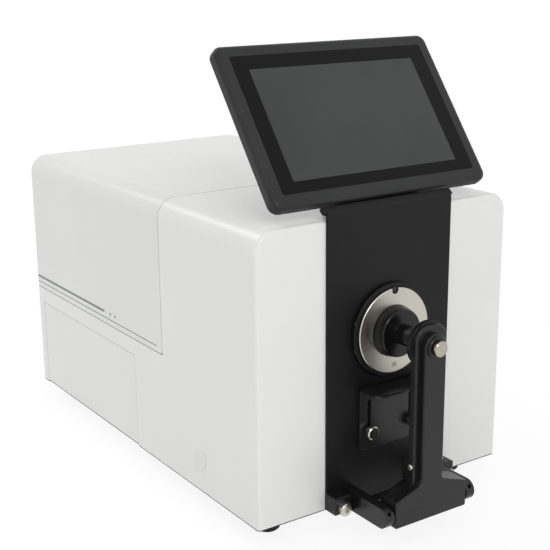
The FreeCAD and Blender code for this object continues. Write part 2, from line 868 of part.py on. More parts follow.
def sphere_half(direction, neck, bore, neck_end_y):
    """Half of the sphere with a bolting flange, a port neck along Y and a foot lug under the flange."""
    inner = sphere_radius - sphere_wall
    flange = sphere_radius + sphere_flange_width

    def on_ball(radius, r):
        return (r, sphere_y + direction * math.sqrt(radius ** 2 - r ** 2))

    flange_y = sphere_y + direction * sphere_flange_thickness
    shoulder = math.sqrt(sphere_radius ** 2 - sphere_flange_thickness ** 2)
    half = turned([
        (inner, sphere_y), (flange, sphere_y), (flange, flange_y), (shoulder, flange_y),
        (on_ball(sphere_radius, (shoulder + neck) / 2), on_ball(sphere_radius, neck)),
        (neck, neck_end_y), (bore, neck_end_y), on_ball(inner, bore),
        (on_ball(inner, (bore + inner) / 2), (inner, sphere_y))], 0, port_z)
    lug_y = sorted((sphere_y, flange_y))
    lug = block(-sphere_lug_width / 2, sphere_lug_width / 2, *lug_y,
                port_z - flange - sphere_lug_drop, port_z - sphere_radius - sphere_flange_width / 2)
    return half.fuse(lug).removeSplitter()


def sphere_front_half():
    return sphere_half(-1, neck_radius, neck_bore_radius, panel_front_y)


lamp_y = sphere_y + lamp_offset
lamp_length = inner_half - lamp_side_gap - lamp_seat
bulb_length = bulb_length_share * lamp_length
exit_neck_y = lid_y - shell_wall - exit_neck_gap


def sphere_rear_half():
    half = sphere_half(1, exit_neck_radius, exit_bore_radius, exit_neck_y)
    inner = sphere_radius - sphere_wall
    wall_x = math.sqrt(inner ** 2 - lamp_offset ** 2) - lamp_neck_radius
    ball = Part.makeSphere(inner, Vector(0, sphere_y, port_z))
    neck = bar_x(lamp_neck_radius, wall_x, lamp_seat, lamp_y, port_z).cut(ball)
    bore = bar_x(lamp_bore_radius, wall_x - overrun, lamp_seat + overrun, lamp_y, port_z)
    return half.fuse(neck).removeSplitter().cut(bore)


def lamp_housing():
    body = bar_x(lamp_radius, lamp_seat, lamp_seat + lamp_length, lamp_y, port_z)
    pitch = lamp_length / lamp_fin_count
    grooves = []
    for i in range(1, lamp_fin_count):
        x = lamp_seat + i * pitch
        width = pitch * lamp_fin_share
        ring = bar_x(lamp_radius + overrun, x - width / 2, x + width / 2, lamp_y, port_z)
        core = bar_x(lamp_radius - lamp_fin_depth, x - width / 2, x + width / 2, lamp_y, port_z)
        grooves.append(ring.cut(core))
    bore = bar_x(lamp_bore_radius, lamp_seat - overrun, lamp_seat + bulb_length + snug_gap, lamp_y, port_z)
    return body.cut(grooves).cut(bore)


def lamp_bulb():
    bulb = bar_x(bulb_radius, lamp_seat, lamp_seat + bulb_length, lamp_y, port_z)
    return bulb.makeChamfer(bulb_bevel, edges_at(bulb, "X", lamp_seat))


def sphere_stand():
    top = port_z - sphere_radius - sphere_flange_width - sphere_lug_drop
    foot_top = base_top_z + stand_foot_thickness
    foot = rounded_slab(-stand_foot_width / 2, stand_foot_width / 2, sphere_y - stand_foot_depth / 2,
                        sphere_y + stand_foot_depth / 2, base_top_z, foot_top, stand_foot_thickness)

    def outline(width, depth, z):
        points = [Vector(side_x * width / 2, sphere_y + side_y * depth / 2, z)
                  for side_x, side_y in ((-1, -1), (1, -1), (1, 1), (-1, 1))]
        return Part.makePolygon(points + points[:1])

    column = Part.makeLoft([outline(stand_column_width, stand_column_depth, foot_top),
                            outline(sphere_lug_width, 2 * sphere_flange_thickness, top)], True, True)
    return foot.fuse(column).removeSplitter()


# Transmission chamber under the lid

def transmission_port():
    tube = bar_y(exit_neck_radius, exit_neck_y + fit_gap, lid_y, 0, port_z)
    flange = bar_y(exit_flange_radius, lid_y, lid_y + exit_flange_thickness, 0, port_z)
    bore = bar_y(exit_bore_radius, exit_neck_y - overrun, lid_y + exit_flange_thickness + overrun, 0, port_z)
    return tube.fuse(flange).removeSplitter().cut(bore)


holder_y = lid_y + exit_flange_thickness + holder_gap


def transmission_holder():
    """Bent sheet: a foot on the chamber deck and an upright with the beam hole."""
    half = holder_width / 2
    top = deck_z + holder_height
    inner = holder_bend - holder_sheet
    outer_bend = holder_bend * arc_middle_share
    inner_bend = holder_sheet + inner * arc_middle_share
    face = closed_face(
        Vector(-half, holder_y, top),
        Vector(-half, holder_y, deck_z + holder_bend),
        (Vector(-half, holder_y + outer_bend, deck_z + outer_bend),
         Vector(-half, holder_y + holder_bend, deck_z)),
        Vector(-half, holder_y + holder_foot, deck_z),
        Vector(-half, holder_y + holder_foot, deck_z + holder_sheet),
        Vector(-half, holder_y + holder_bend, deck_z + holder_sheet),
        (Vector(-half, holder_y + inner_bend, deck_z + inner_bend),
         Vector(-half, holder_y + holder_sheet, deck_z + holder_bend)),
        Vector(-half, holder_y + holder_sheet, top))
    sheet = face.extrude(Vector(holder_width, 0, 0))
    corners = [edge for edge in edges_at(sheet, "Z", top) if edge.BoundBox.XLength < touch]
    sheet = sheet.makeFillet(holder_corner, corners)
    return sheet.cut(bar_y(holder_hole_radius, holder_y - overrun, holder_y + holder_sheet + overrun, 0,
                           port_z))


def holder_clips():
    """Spring strips: flat foot on the holder, bowed out and back to press on the sample."""
    y = holder_y + holder_sheet
    low = deck_z + holder_bend + holder_sheet
    foot = low + clip_foot_share * clip_length
    tip = low + clip_tip_share * clip_length
    end = low + clip_length
    x = clip_spread - clip_width / 2
    face = closed_face(
        Vector(x, y, low), Vector(x, y, foot),
        Vector(x, y + clip_bow, (foot + tip) / 2),
        Vector(x, y + fit_gap, tip), Vector(x, y + clip_bow / 2, end),
        Vector(x, y + clip_bow / 2 + clip_sheet, end), Vector(x, y + fit_gap + clip_sheet, tip),
        Vector(x, y + clip_bow + clip_sheet, (foot + tip) / 2),
        Vector(x, y + clip_sheet, foot), Vector(x, y + clip_sheet, low))
    return both_sides(face.extrude(Vector(clip_width, 0, 0)))


spectro_y = front_y + spectro_back
spectro_top = body_top - shell_wall - spectro_headroom - spectro_cover_thickness


def spectrometer_box():
    half = spectro_width / 2
    box = rounded_slab(-half, half, spectro_y, spectro_y + spectro_depth, deck_z, spectro_top, spectro_corner)
    room = rounded_slab(spectro_wall - half, half - spectro_wall,
                        spectro_y + spectro_wall, spectro_y + spectro_depth - spectro_wall,
                        deck_z + spectro_wall, spectro_top + overrun, spectro_corner - spectro_wall)
    hole = bar_y(lens_tube_radius + snug_gap, spectro_y - overrun, spectro_y + spectro_wall + overrun, 0,
                 port_z)
    return box.cut(room).cut(hole)


def spectrometer_cover():
    half = spectro_width / 2
    plate = rounded_slab(-half, half, spectro_y, spectro_y + spectro_depth,
                         spectro_top, spectro_top + spectro_cover_thickness, spectro_corner)
    edge = spectro_wall + fit_gap
    lip = rounded_slab(edge - half, half - edge, spectro_y + edge, spectro_y + spectro_depth - edge,
                       spectro_top - spectro_cover_lip, spectro_top, spectro_corner - spectro_wall)
    plate = plate.makeFillet(spectro_cover_thickness / 2,
                             edges_at(plate, "Z", spectro_top + spectro_cover_thickness))
    return plate.fuse(lip).removeSplitter()


lens_front_y = spectro_y - lens_tube_length


def collection_lens_tube():
    tube = bar_y(lens_tube_radius, lens_front_y, spectro_y + spectro_wall, 0, port_z)
    flange = bar_y(lens_flange_radius, spectro_y - lens_flange_thickness, spectro_y, 0, port_z)
    seat_y = lens_front_y + lens_setback + lens_thickness
    bore = bar_y(lens_tube_radius - lens_tube_wall, lens_front_y - overrun, seat_y, 0, port_z)
    stop = bar_y(lens_tube_radius - 2 * lens_tube_wall, seat_y - overrun, spectro_y + spectro_wall + overrun,
                 0, port_z)
    return tube.fuse(flange).removeSplitter().cut([bore, stop])


def collection_lens():
    radius = lens_tube_radius - lens_tube_wall - snug_gap
    front = lens_front_y + lens_setback
    back = front + lens_thickness
    disc = bar_y(radius, front, back, 0, port_z)
    ball_radius = (radius ** 2 + lens_crown ** 2) / (2 * lens_crown)
    crown = Part.makeSphere(ball_radius, Vector(0, front - lens_crown + ball_radius, port_z))
    cap = bar_y(radius, front - lens_crown, front, 0, port_z).common(crown)
    return disc.fuse(cap).removeSplitter()


# Electronics in the low rear part

board_y = front_y + board_back
board_z = base_top_z + board_lift


def main_board():
    half = board_width / 2
    board = rounded_slab(-half, half, board_y, board_y + board_depth, board_z, board_z + board_thickness,
                         standoff_radius)
    chips = []
    for across, along, width, depth in chip_shares:
        x, y = across * board_width, board_y + along * board_depth
        dx, dy = width * board_width / 2, depth * board_depth / 2
        top = board_z + board_thickness
        chips.append(block(x - dx, x + dx, y - dy, y + dy, top, top + chip_height))
    return board.fuse(chips)


def board_standoffs():
    x = board_width / 2 - board_inset
    places = [(side * x, y) for side in (-1, 1)
              for y in (board_y + board_inset, board_y + board_depth - board_inset)]
    return Part.makeCompound([bar_z(standoff_radius, base_top_z, board_z, *place) for place in places])


def power_supply():
    half = supply_width / 2
    y0 = front_y + supply_back
    top = base_top_z + supply_height
    case = rounded_slab(-half, half, y0, y0 + supply_depth, base_top_z, top, 2 * supply_wall)
    case = case.cut(block(supply_wall - half, half - supply_wall,
                          y0 + supply_wall, y0 + supply_depth - supply_wall,
                          base_top_z + supply_wall, top - supply_wall))
    pitch = supply_width / (supply_slot_count + 1)
    slots = []
    length = supply_slot_share * supply_depth
    for i in range(supply_slot_count):
        x = (i + 1) * pitch - half
        middle = y0 + supply_depth / 2
        slots.append(block(x - supply_slot_width / 2, x + supply_slot_width / 2, middle - length / 2,
                           middle + length / 2, top - supply_wall - overrun, top + overrun))
    return case.cut(slots)


# Front panel, measuring port and sample shelf

shelf_top_z = port_z - shelf_below_port
thumb_z = shelf_top_z - thumb_below_shelf
bracket_screw_z = body_bottom + bracket_screw_rise


def front_panel():
    """Plate over the middle of the front, standing above the body, its top bent back under the screen."""
    half = panel_width / 2
    lean = math.radians(panel_lip_angle)
    bend_z = body_top + panel_bend_rise

    def point(y, z):
        return Vector(-half, y, z)

    front_foot, back_foot = point(panel_front_y, body_bottom), point(front_y, body_bottom)
    front_bend = point(panel_front_y, bend_z)
    back_bend = point(front_y, bend_z - panel_thickness * math.tan(lean / 2))
    front_end = front_bend + Vector(0, math.sin(lean), math.cos(lean)) * panel_lip_length
    back_end = front_end + Vector(0, math.cos(lean), -math.sin(lean)) * panel_thickness
    outer, outer_arc = blend(front_foot, front_bend, front_end, panel_bend_radius)
    inner, inner_arc = blend(back_end, back_bend, back_foot, panel_bend_radius - panel_thickness)
    profile = closed_face(front_foot, outer, outer_arc, front_end, back_end, inner, inner_arc, back_foot)
    panel = profile.extrude(Vector(panel_width, 0, 0))
    low, high = panel_front_y - overrun, front_y + overrun
    holes = [bar_y(neck_radius + neck_hole_gap, low, high, 0, port_z)]
    for side in (-1, 1):
        holes.append(bar_y(thumb_shank_radius + running_gap, low, high, side * slot_spread, thumb_z))
        x = side * bracket_screw_spread
        holes.append(bar_y(bracket_screw_radius + snug_gap, low, high, x, bracket_screw_z))
    return panel.cut(holes)


pin_z = port_z + ring_radius - ring_notch_radius / 2


def port_rim():
    """Ring seat round the port, with a bite in its wall where the locating pin stands."""
    seat = ring_radius + fit_gap
    floor = rim_front_y + ring_seat_depth
    rim = turned([
        (rim_bore_radius, panel_front_y), (rim_radius, panel_front_y),
        (rim_radius, rim_front_y + rim_chamfer), (rim_radius - rim_chamfer, rim_front_y),
        (seat, rim_front_y), (seat, floor), (rim_bore_radius, floor)], 0, port_z)
    return rim.cut(bar_y(pin_radius + snug_gap, rim_front_y - overrun, floor, 0, pin_z))


def aperture_ring():
    back = rim_front_y + ring_seat_depth
    ring = turned([
        (ring_hole_radius, back), (ring_radius, back), (ring_radius, ring_front_y + ring_chamfer),
        (ring_radius - ring_chamfer, ring_front_y), (ring_hole_radius + ring_chamfer, ring_front_y),
        (ring_hole_radius, ring_front_y + ring_chamfer)], 0, port_z)
    notch = bar_y(ring_notch_radius, ring_front_y - overrun, back + overrun, 0, pin_z)
    mouth = block(-ring_notch_radius, ring_notch_radius, ring_front_y - overrun, back + overrun,
                  pin_z, port_z + ring_radius + overrun)
    return ring.cut(notch.fuse(mouth))


def locating_pin():
    floor = rim_front_y + ring_seat_depth
    tip = rim_front_y - pin_proud
    pin = bar_y(pin_radius, tip, floor, 0, pin_z)
    return pin.makeChamfer(pin_bevel, edges_at(pin, "Y", tip))


shelf_back_y = panel_front_y - shelf_gap
shelf_front_y = front_y - panel_thickness - shelf_gap - shelf_sheet


def sample_shelf():
    """Bent sheet: a shelf under the port and a slotted leg that slides on the panel."""
    half = shelf_width / 2
    tip = panel_front_y - shelf_reach
    low = shelf_top_z - shelf_drop
    inner_radius = shelf_bend - shelf_sheet
    outer = shelf_bend * arc_middle_share
    inner = shelf_sheet + inner_radius * arc_middle_share
    face = closed_face(
        Vector(-half, shelf_back_y, low),
        Vector(-half, shelf_back_y, shelf_top_z - shelf_bend),
        (Vector(-half, shelf_back_y - outer, shelf_top_z - outer),
         Vector(-half, shelf_back_y - shelf_bend, shelf_top_z)),
        Vector(-half, tip, shelf_top_z),
        Vector(-half, tip, shelf_top_z - shelf_sheet),
        Vector(-half, shelf_back_y - shelf_bend, shelf_top_z - shelf_sheet),
        (Vector(-half, shelf_back_y - inner, shelf_top_z - inner),
         Vector(-half, shelf_front_y, shelf_top_z - shelf_bend)),
        Vector(-half, shelf_front_y, low))
    sheet = face.extrude(Vector(shelf_width, 0, 0))
    corners = [edge for edge in edges_at(sheet, "Y", tip) if edge.BoundBox.XLength < touch]
    corners += [edge for edge in edges_at(sheet, "Z", low) if edge.BoundBox.XLength < touch]
    sheet = sheet.makeFillet(shelf_corner, corners)
    radius = thumb_shank_radius + slot_clear
    slots = []
    for side in (-1, 1):
        x = side * slot_spread
        y0, y1 = shelf_front_y - overrun, shelf_back_y + overrun
        slots.append(bar_y(radius, y0, y1, x, thumb_z))
        slots.append(bar_y(radius, y0, y1, x, thumb_z + shelf_travel))
        slots.append(block(x - radius, x + radius, y0, y1, thumb_z, thumb_z + shelf_travel))
    return sheet.cut(slots[0].fuse(slots[1:]))


def shelf_thumbscrew(side):
    seat = shelf_front_y - shelf_gap
    head_back = seat - thumb_collar_height
    head_front = head_back - thumb_head_height
    return turned([
        (0, front_y - shelf_gap), (thumb_shank_radius, front_y - shelf_gap), (thumb_shank_radius, seat),
        (thumb_collar_radius, seat), (thumb_collar_radius, head_back),
        (thumb_head_radius - thumb_chamfer, head_back), (thumb_head_radius, head_back - thumb_chamfer),
        (thumb_head_radius, head_front + thumb_chamfer), (thumb_head_radius - thumb_chamfer, head_front),
        (0, head_front)], side * slot_spread, thumb_z)


# Hinge brackets at the foot of the front panel

set_screw_direction = Vector(0, -math.cos(math.radians(set_screw_angle)),
                             math.sin(math.radians(set_screw_angle)))
set_screw_x = bar_inner + bar_thickness / 2
pivot_pin_end = bar_inner + pivot_pin_seat_share * bar_thickness


def hinge_bracket():
    """Right-hand bracket: a flange on the panel and a forward bar with a round end about the pivot."""
    outer = bar_inner + bar_thickness
    bar = block(bar_inner, outer, pivot_y, panel_front_y, pivot_z - bar_radius, pivot_z + bar_radius)
    bar = bar.fuse(bar_x(bar_radius, bar_inner, outer, pivot_y, pivot_z)).removeSplitter()
    flange = block(outer, flange_outer, front_y - flange_reach, panel_front_y,
                   body_bottom + flange_low, body_bottom + flange_high)
    flange = flange.makeFillet(bracket_round, edges_at(flange, "Y", front_y - flange_reach)
                               + edges_at(flange, "X", flange_outer))
    bracket = bar.fuse(flange)
    centre = Vector(set_screw_x, pivot_y, pivot_z)
    set_hole = Part.makeCylinder(set_screw_radius + snug_gap, bar_radius + overrun, centre,
                                 set_screw_direction)
    cuts = [bar_x(pivot_pin_radius + snug_gap, bar_inner - overrun, pivot_pin_end, pivot_y, pivot_z),
            bar_y(bracket_screw_radius + snug_gap, front_y - flange_reach - overrun, panel_front_y + overrun,
                  bracket_screw_spread, bracket_screw_z),
            set_hole]
    return bracket.cut(cuts)


def bracket_screws():
    seat = front_y - flange_reach
    head = bar_z(bracket_screw_head_radius, 0, bracket_screw_head_height, 0, 0)
    head = head.makeChamfer(bracket_screw_bevel, edges_at(head, "Z", bracket_screw_head_height))
    screw = head.fuse(bar_z(bracket_screw_radius, -flange_reach, 0, 0, 0)).removeSplitter()
    screw = screw.cut(hex_socket(bracket_screw_socket_radius, bracket_screw_head_height,
                                 bracket_screw_socket_depth))
    return both_sides(pointed(screw, -Y_AXIS, Vector(bracket_screw_spread, seat, bracket_screw_z)))


def arm_pivot_pins():
    start = bar_inner - arm_side_gap - pivot_pin_depth
    return both_sides(bar_x(pivot_pin_radius, start, pivot_pin_end, pivot_y, pivot_z))


def pivot_set_screws():
    inner = pivot_pin_radius + snug_gap
    length = bar_radius - set_screw_sink - inner
    screw = bar_z(set_screw_radius, 0, length, 0, 0)
    screw = screw.cut(hex_socket(set_screw_socket_radius, length, set_screw_socket_depth))
    start = Vector(set_screw_x, pivot_y, pivot_z) + set_screw_direction * inner
    return both_sides(pointed(screw, set_screw_direction, start))


# Sample arm

plate_foot_z = body_bottom + plate_foot_rise
arm_screw_y = rib_back_y + plate_thickness / 2
arm_screw_z = body_bottom + arm_screw_rise


def plunger_bore():
    return bar_y(hub_radius + running_gap, hub_bore_end_y, plate_back_y + guide_behind + overrun, 0, port_z)


def arm_base():
    """T-shaped front piece: hinge block with sloping shoulders, a rib up to the plunger and its boss."""
    half = bar_inner - arm_side_gap
    low = body_bottom + arm_base_low
    shoulder = body_bottom + arm_base_high
    crest = body_bottom + arm_shoulder_rise
    rib_half = rib_width / 2

    def point(x, z):
        return Vector(x, arm_front_y, z)

    right_foot, right_foot_arc = blend(point(0, low), point(half, low), point(half, shoulder), arm_base_round)
    left_foot, left_foot_arc = blend(point(-half, shoulder), point(-half, low), point(0, low), arm_base_round)
    right_root, right_root_arc = blend(point(half, shoulder), point(rib_half, crest),
                                       point(rib_half, port_z), rib_root_round)
    left_root, left_root_arc = blend(point(-rib_half, port_z), point(-rib_half, crest),
                                     point(-half, shoulder), rib_root_round)
    front = closed_face(
        right_foot, right_foot_arc, point(half, shoulder), right_root, right_root_arc,
        point(rib_half, port_z), (point(0, port_z + rib_half), point(-rib_half, port_z)),
        left_root, left_root_arc, point(-half, shoulder), left_foot, left_foot_arc)
    slab = front.extrude(Vector(0, rib_thickness, 0))
    slab = slab.makeFillet(rib_round, edges_at(slab, "Y", arm_front_y))
    foot = closed_face(
        right_foot, right_foot_arc, point(half, shoulder), point(rib_half, crest), point(-rib_half, crest),
        point(-half, shoulder), left_foot, left_foot_arc)
    foot = foot.extrude(Vector(0, arm_base_depth - rib_thickness, 0))
    foot.translate(Vector(0, rib_thickness, 0))
    boss = bar_y(boss_radius, arm_front_y - boss_height, rib_back_y, 0, port_z)
    boss = boss.makeChamfer(boss_bevel, edges_at(boss, "Y", arm_front_y - boss_height))
    base = slab.fuse([foot, boss]).removeSplitter()
    pin = bar_x(pivot_pin_radius + running_gap, half - pivot_pin_depth - fit_gap, half + overrun, pivot_y,
                pivot_z)
    return base.cut([
        block(-plate_width / 2, plate_width / 2, rib_back_y, plate_back_y, plate_foot_z, crest + overrun),
        bar_y(rod_radius + running_gap, arm_front_y - boss_height - overrun, rib_back_y, 0, port_z),
        plunger_bore(), pin, mirrored(pin)])


def arm_plate():
    """Plate behind the rib, with a round guide for the plunger at its head and a thick lug at its foot."""
    half = plate_width / 2
    top = port_z + plate_top
    plate = block(-half, half, rib_back_y, plate_back_y, plate_foot_z, top)
    corners = [edge for edge in edges_at(plate, "Z", top) if edge.BoundBox.XLength < touch]
    plate = plate.makeFillet(plate_corner, corners)
    rims = [edge for face_y in (rib_back_y, plate_back_y) for edge in edges_at(plate, "Y", face_y)
            if edge.BoundBox.ZMax > plate_foot_z + touch]
    plate = plate.makeFillet(plate_round, rims)
    guide_back = plate_back_y + guide_behind
    guide = bar_y(guide_radius, guide_back - guide_thickness, guide_back, 0, port_z)
    guide = guide.makeChamfer(plate_round / 2, edges_at(guide, "Y", guide_back))
    lug_foot = body_bottom + arm_shoulder_rise
    lug_back = arm_front_y + arm_base_depth
    lug = block(-half, half, rib_back_y + plate_round, lug_back, lug_foot, lug_foot + lug_height)
    lug_edge = [edge for edge in edges_at(lug, "Z", lug_foot + lug_height)
                if edge.BoundBox.YMin > lug_back - touch]
    lug = lug.makeFillet(lug_round, lug_edge)
    plate = plate.fuse([guide, lug]).removeSplitter()
    hole = bar_x(arm_screw_radius + snug_gap, half - arm_screw_length - fit_gap, half + overrun,
                 arm_screw_y, arm_screw_z)
    return plate.cut([plunger_bore(), hole, mirrored(hole)])


def arm_screws():
    screw = pan_screw(arm_screw_head_radius, arm_screw_head_height, arm_screw_radius, arm_screw_length)
    return both_sides(pointed(screw, X_AXIS, Vector(plate_width / 2, arm_screw_y, arm_screw_z)))


# Sprung plunger

pad_back_y = ring_front_y - fit_gap
pad_front_y = pad_back_y - pad_thickness
rod_root_y = pad_front_y + rod_root


def plunger_pad():
    """Round pad with a dished pressing face and a hollow hub that slides in the arm."""
    rim_y = pad_back_y - pad_rim_thickness
    return turned([
        (0, pad_back_y - pad_dish), (pad_dish_radius - pad_dish, pad_back_y - pad_dish),
        (pad_dish_radius, pad_back_y), (pad_radius - pad_round, pad_back_y),
        (pad_radius, pad_back_y - pad_round), (pad_front_radius, rim_y + pad_bevel),
        (pad_front_radius - pad_bevel, rim_y), (hub_radius, pad_front_y), (hub_radius, hub_end_y),
        (hub_bore_radius, hub_end_y), (hub_bore_radius, pad_front_y),
        (rod_radius + snug_gap, pad_front_y), (rod_radius + snug_gap, rod_root_y),
        (0, rod_root_y)], 0, port_z)


def plunger_rod():
    knob_back = arm_front_y - boss_height - knob_gap
    knob_front = knob_back - knob_length
    return turned([
        (0, rod_root_y), (rod_radius, rod_root_y), (rod_radius, knob_back),
        (knob_radius - knob_chamfer, knob_back), (knob_radius, knob_back - knob_chamfer),
        (knob_radius, knob_front + knob_chamfer), (knob_radius - knob_chamfer, knob_front),
        (0, knob_front)], 0, port_z)


def plunger_spring():
    """Coil hidden in the hub, kept as the plain sleeve that it fills."""
    start, end = hub_bore_end_y + fit_gap, pad_front_y - fit_gap
    sleeve = bar_y(spring_radius + spring_wire_radius, start, end, 0, port_z)
    return sleeve.cut(bar_y(spring_radius - spring_wire_radius, start - overrun, end + overrun, 0, port_z))


# Screen, built upright with its pivot at the origin, then tipped back and set on its bracket

def tipped(shape):
    copy = shape.copy()
    copy.rotate(Vector(0, 0, 0), X_AXIS, -screen_tilt)
    copy.translate(Vector(0, screen_pivot_y, screen_pivot_z))
    return copy


glass_y = -(tablet_thickness + tilt_leaf_thickness + tilt_barrel_radius)
bezel_back_y = glass_y + bezel_thickness
cover_back_y = bezel_back_y + cover_thickness


def screen_plate(margin, y0, y1, radius):
    """Plate around the glass outline, larger than the glass by a margin on every side."""
    half = glass_width / 2 + margin
    return rounded_plate(-half, half, y0, y1, -margin, glass_height + margin, radius)


def tablet_bezel():
    frame = screen_plate(bezel_margin, glass_y, bezel_back_y, bezel_corner)
    frame = frame.makeFillet(bezel_edge_round, edges_at(frame, "Y", glass_y))
    pocket = screen_plate(glass_gap, glass_y - overrun, glass_y + glass_thickness, glass_corner)
    window = screen_plate(-bezel_ledge, glass_y, bezel_back_y + overrun, glass_corner)
    return tipped(frame.cut(pocket.fuse(window)))


def touch_glass():
    return tipped(screen_plate(0, glass_y, glass_y + glass_thickness, glass_corner))


def display_panel():
    back = glass_y + glass_thickness
    return tipped(screen_plate(-bezel_ledge - display_gap, back, back + display_thickness, glass_corner))


def tablet_back_cover():
    cover = screen_plate(bezel_margin, bezel_back_y, cover_back_y, bezel_corner)
    cover = cover.makeFillet(cover_edge_round, edges_at(cover, "Y", cover_back_y))
    room = screen_plate(-bezel_ledge, bezel_back_y - overrun, cover_back_y - cover_wall, glass_corner)
    return tipped(cover.cut(room))


def tilt_leaf():
    """Plate on the back of the screen with the hinge barrel along its lower edge."""
    half = tilt_leaf_width / 2
    back = cover_back_y + tilt_leaf_thickness
    plate = rounded_plate(-half, half, cover_back_y, back, -tilt_barrel_radius,
                          tilt_leaf_height, tilt_leaf_corner / 2)
    web = block(-half, half, cover_back_y + tilt_leaf_thickness / 2, 0, -tilt_barrel_radius / 2,
                tilt_barrel_radius / 2)
    barrel = bar_x(tilt_barrel_radius, -half, half, 0, 0)
    bore = bar_x(tilt_pin_radius + running_gap, -half - overrun, half + overrun, 0, 0)
    return tipped(plate.fuse([web, barrel]).removeSplitter().cut(bore))


def tilt_ear():
    """Right-hand ear: a round head about the pivot on a wider foot."""
    x0 = tilt_leaf_width / 2 + tilt_ear_gap
    x1 = x0 + tilt_ear_thickness
    low = body_top + tilt_foot_thickness
    head = bar_x(tilt_ear_radius, x0, x1, screen_pivot_y, screen_pivot_z)
    half = tilt_ear_base / 2
    slope = closed_face(
        Vector(x0, screen_pivot_y - tilt_ear_radius, screen_pivot_z),
        Vector(x0, screen_pivot_y + tilt_ear_radius, screen_pivot_z),
        Vector(x0, screen_pivot_y + half + tilt_ear_radius, low),
        Vector(x0, screen_pivot_y - tilt_ear_radius, low)).extrude(Vector(x1 - x0, 0, 0))
    return head.fuse(slope).removeSplitter()


def screen_bracket():
    half = tilt_foot_width / 2
    foot = rounded_slab(-half, half, front_y + tilt_foot_start, front_y + tilt_foot_end,
                        body_top, body_top + tilt_foot_thickness, tilt_foot_corner)
    ear = tilt_ear()
    reach = tilt_leaf_width / 2 + tilt_ear_gap + tilt_ear_thickness + overrun
    foot_top = body_top + tilt_foot_thickness
    holes = [bar_z(tilt_screw_radius + snug_gap, body_top - overrun, foot_top + overrun, x, y)
             for x, y in tilt_screw_places()]
    holes.append(bar_x(tilt_pin_radius + snug_gap, -reach, reach, screen_pivot_y, screen_pivot_z))
    return foot.fuse([ear, mirrored(ear)]).removeSplitter().cut(holes)


def screen_bracket_screws():
    screw = pan_screw(tilt_screw_head_radius, tilt_screw_head_height, tilt_screw_radius,
                      tilt_foot_thickness + shell_wall)
    top = body_top + tilt_foot_thickness
    return Part.makeCompound([pointed(screw, Z_AXIS, Vector(x, y, top)) for x, y in tilt_screw_places()])


def tilt_pin():
    reach = tilt_leaf_width / 2 + tilt_ear_gap + tilt_ear_thickness + tilt_pin_proud
    pin = bar_x(tilt_pin_radius, -reach, reach, screen_pivot_y, screen_pivot_z)
    return pin.makeChamfer(tilt_pin_proud / 2, edges_at(pin, "X", reach) + edges_at(pin, "X", -reach))


nodes = {
    "main_housing": main_housing(),
    "base_plate": base_plate(),
    "base_screws": base_screws(),
    "rubber_feet": rubber_feet(),
    "side_service_panel": side_service_panel(),
    "side_plugs": side_plugs(),
    "rear_io_panel": rear_io_panel(),
    "io_panel_screws": io_panel_screws(),
    "power_inlet": power_inlet(),
    "switch_frame": switch_frame(),
    "power_switch": power_switch(),
    "usb_ports": usb_ports(),
    "serial_port": serial_port(),
    "lid": lid(),
    "lid_bumpers": lid_bumpers(),
    "lid_hinge_lower_leaves": lid_hinge_lower_leaves(),
    "lid_hinge_upper_leaves": lid_hinge_upper_leaves(),
    "lid_hinge_pins": lid_hinge_pins(),
    "sphere_front_half": sphere_front_half(),
    "sphere_rear_half": sphere_rear_half(),
    "sphere_stand": sphere_stand(),
    "lamp_housing": lamp_housing(),
    "lamp_bulb": lamp_bulb(),
    "transmission_port": transmission_port(),
    "transmission_holder": transmission_holder(),
    "holder_clips": holder_clips(),
    "spectrometer_box": spectrometer_box(),
    "spectrometer_cover": spectrometer_cover(),
    "collection_lens_tube": collection_lens_tube(),
    "collection_lens": collection_lens(),
    "main_board": main_board(),
    "board_standoffs": board_standoffs(),
    "power_supply": power_supply(),
    "front_panel": front_panel(),
    "port_rim": port_rim(),
    "aperture_ring": aperture_ring(),
    "locating_pin": locating_pin(),
    "sample_shelf": sample_shelf(),
    "shelf_thumbscrew_left": shelf_thumbscrew(-1),
    "shelf_thumbscrew_right": shelf_thumbscrew(1),
    "hinge_bracket_left": mirrored(hinge_bracket()),
    "hinge_bracket_right": hinge_bracket(),
    "bracket_screws": bracket_screws(),
    "arm_pivot_pins": arm_pivot_pins(),
    "pivot_set_screws": pivot_set_screws(),
    "arm_base": arm_base(),
    "arm_plate": arm_plate(),
    "arm_screws": arm_screws(),
    "plunger_pad": plunger_pad(),
    "plunger_rod": plunger_rod(),
    "plunger_spring": plunger_spring(),
    "tablet_bezel": tablet_bezel(),
    "touch_glass": touch_glass(),
    "display_panel": display_panel(),
    "tablet_back_cover": tablet_back_cover(),
    "tilt_leaf": tilt_leaf(),
    "screen_bracket": screen_bracket(),
    "screen_bracket_screws": screen_bracket_screws(),
    "tilt_pin": tilt_pin(),
}

os.makedirs("parts", exist_ok=True)
for name, shape in nodes.items():
    shape.exportStep(os.path.join("parts", name + ".step"))
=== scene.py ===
import math

import bmesh
import bpy
from mathutils import Matrix, Vector


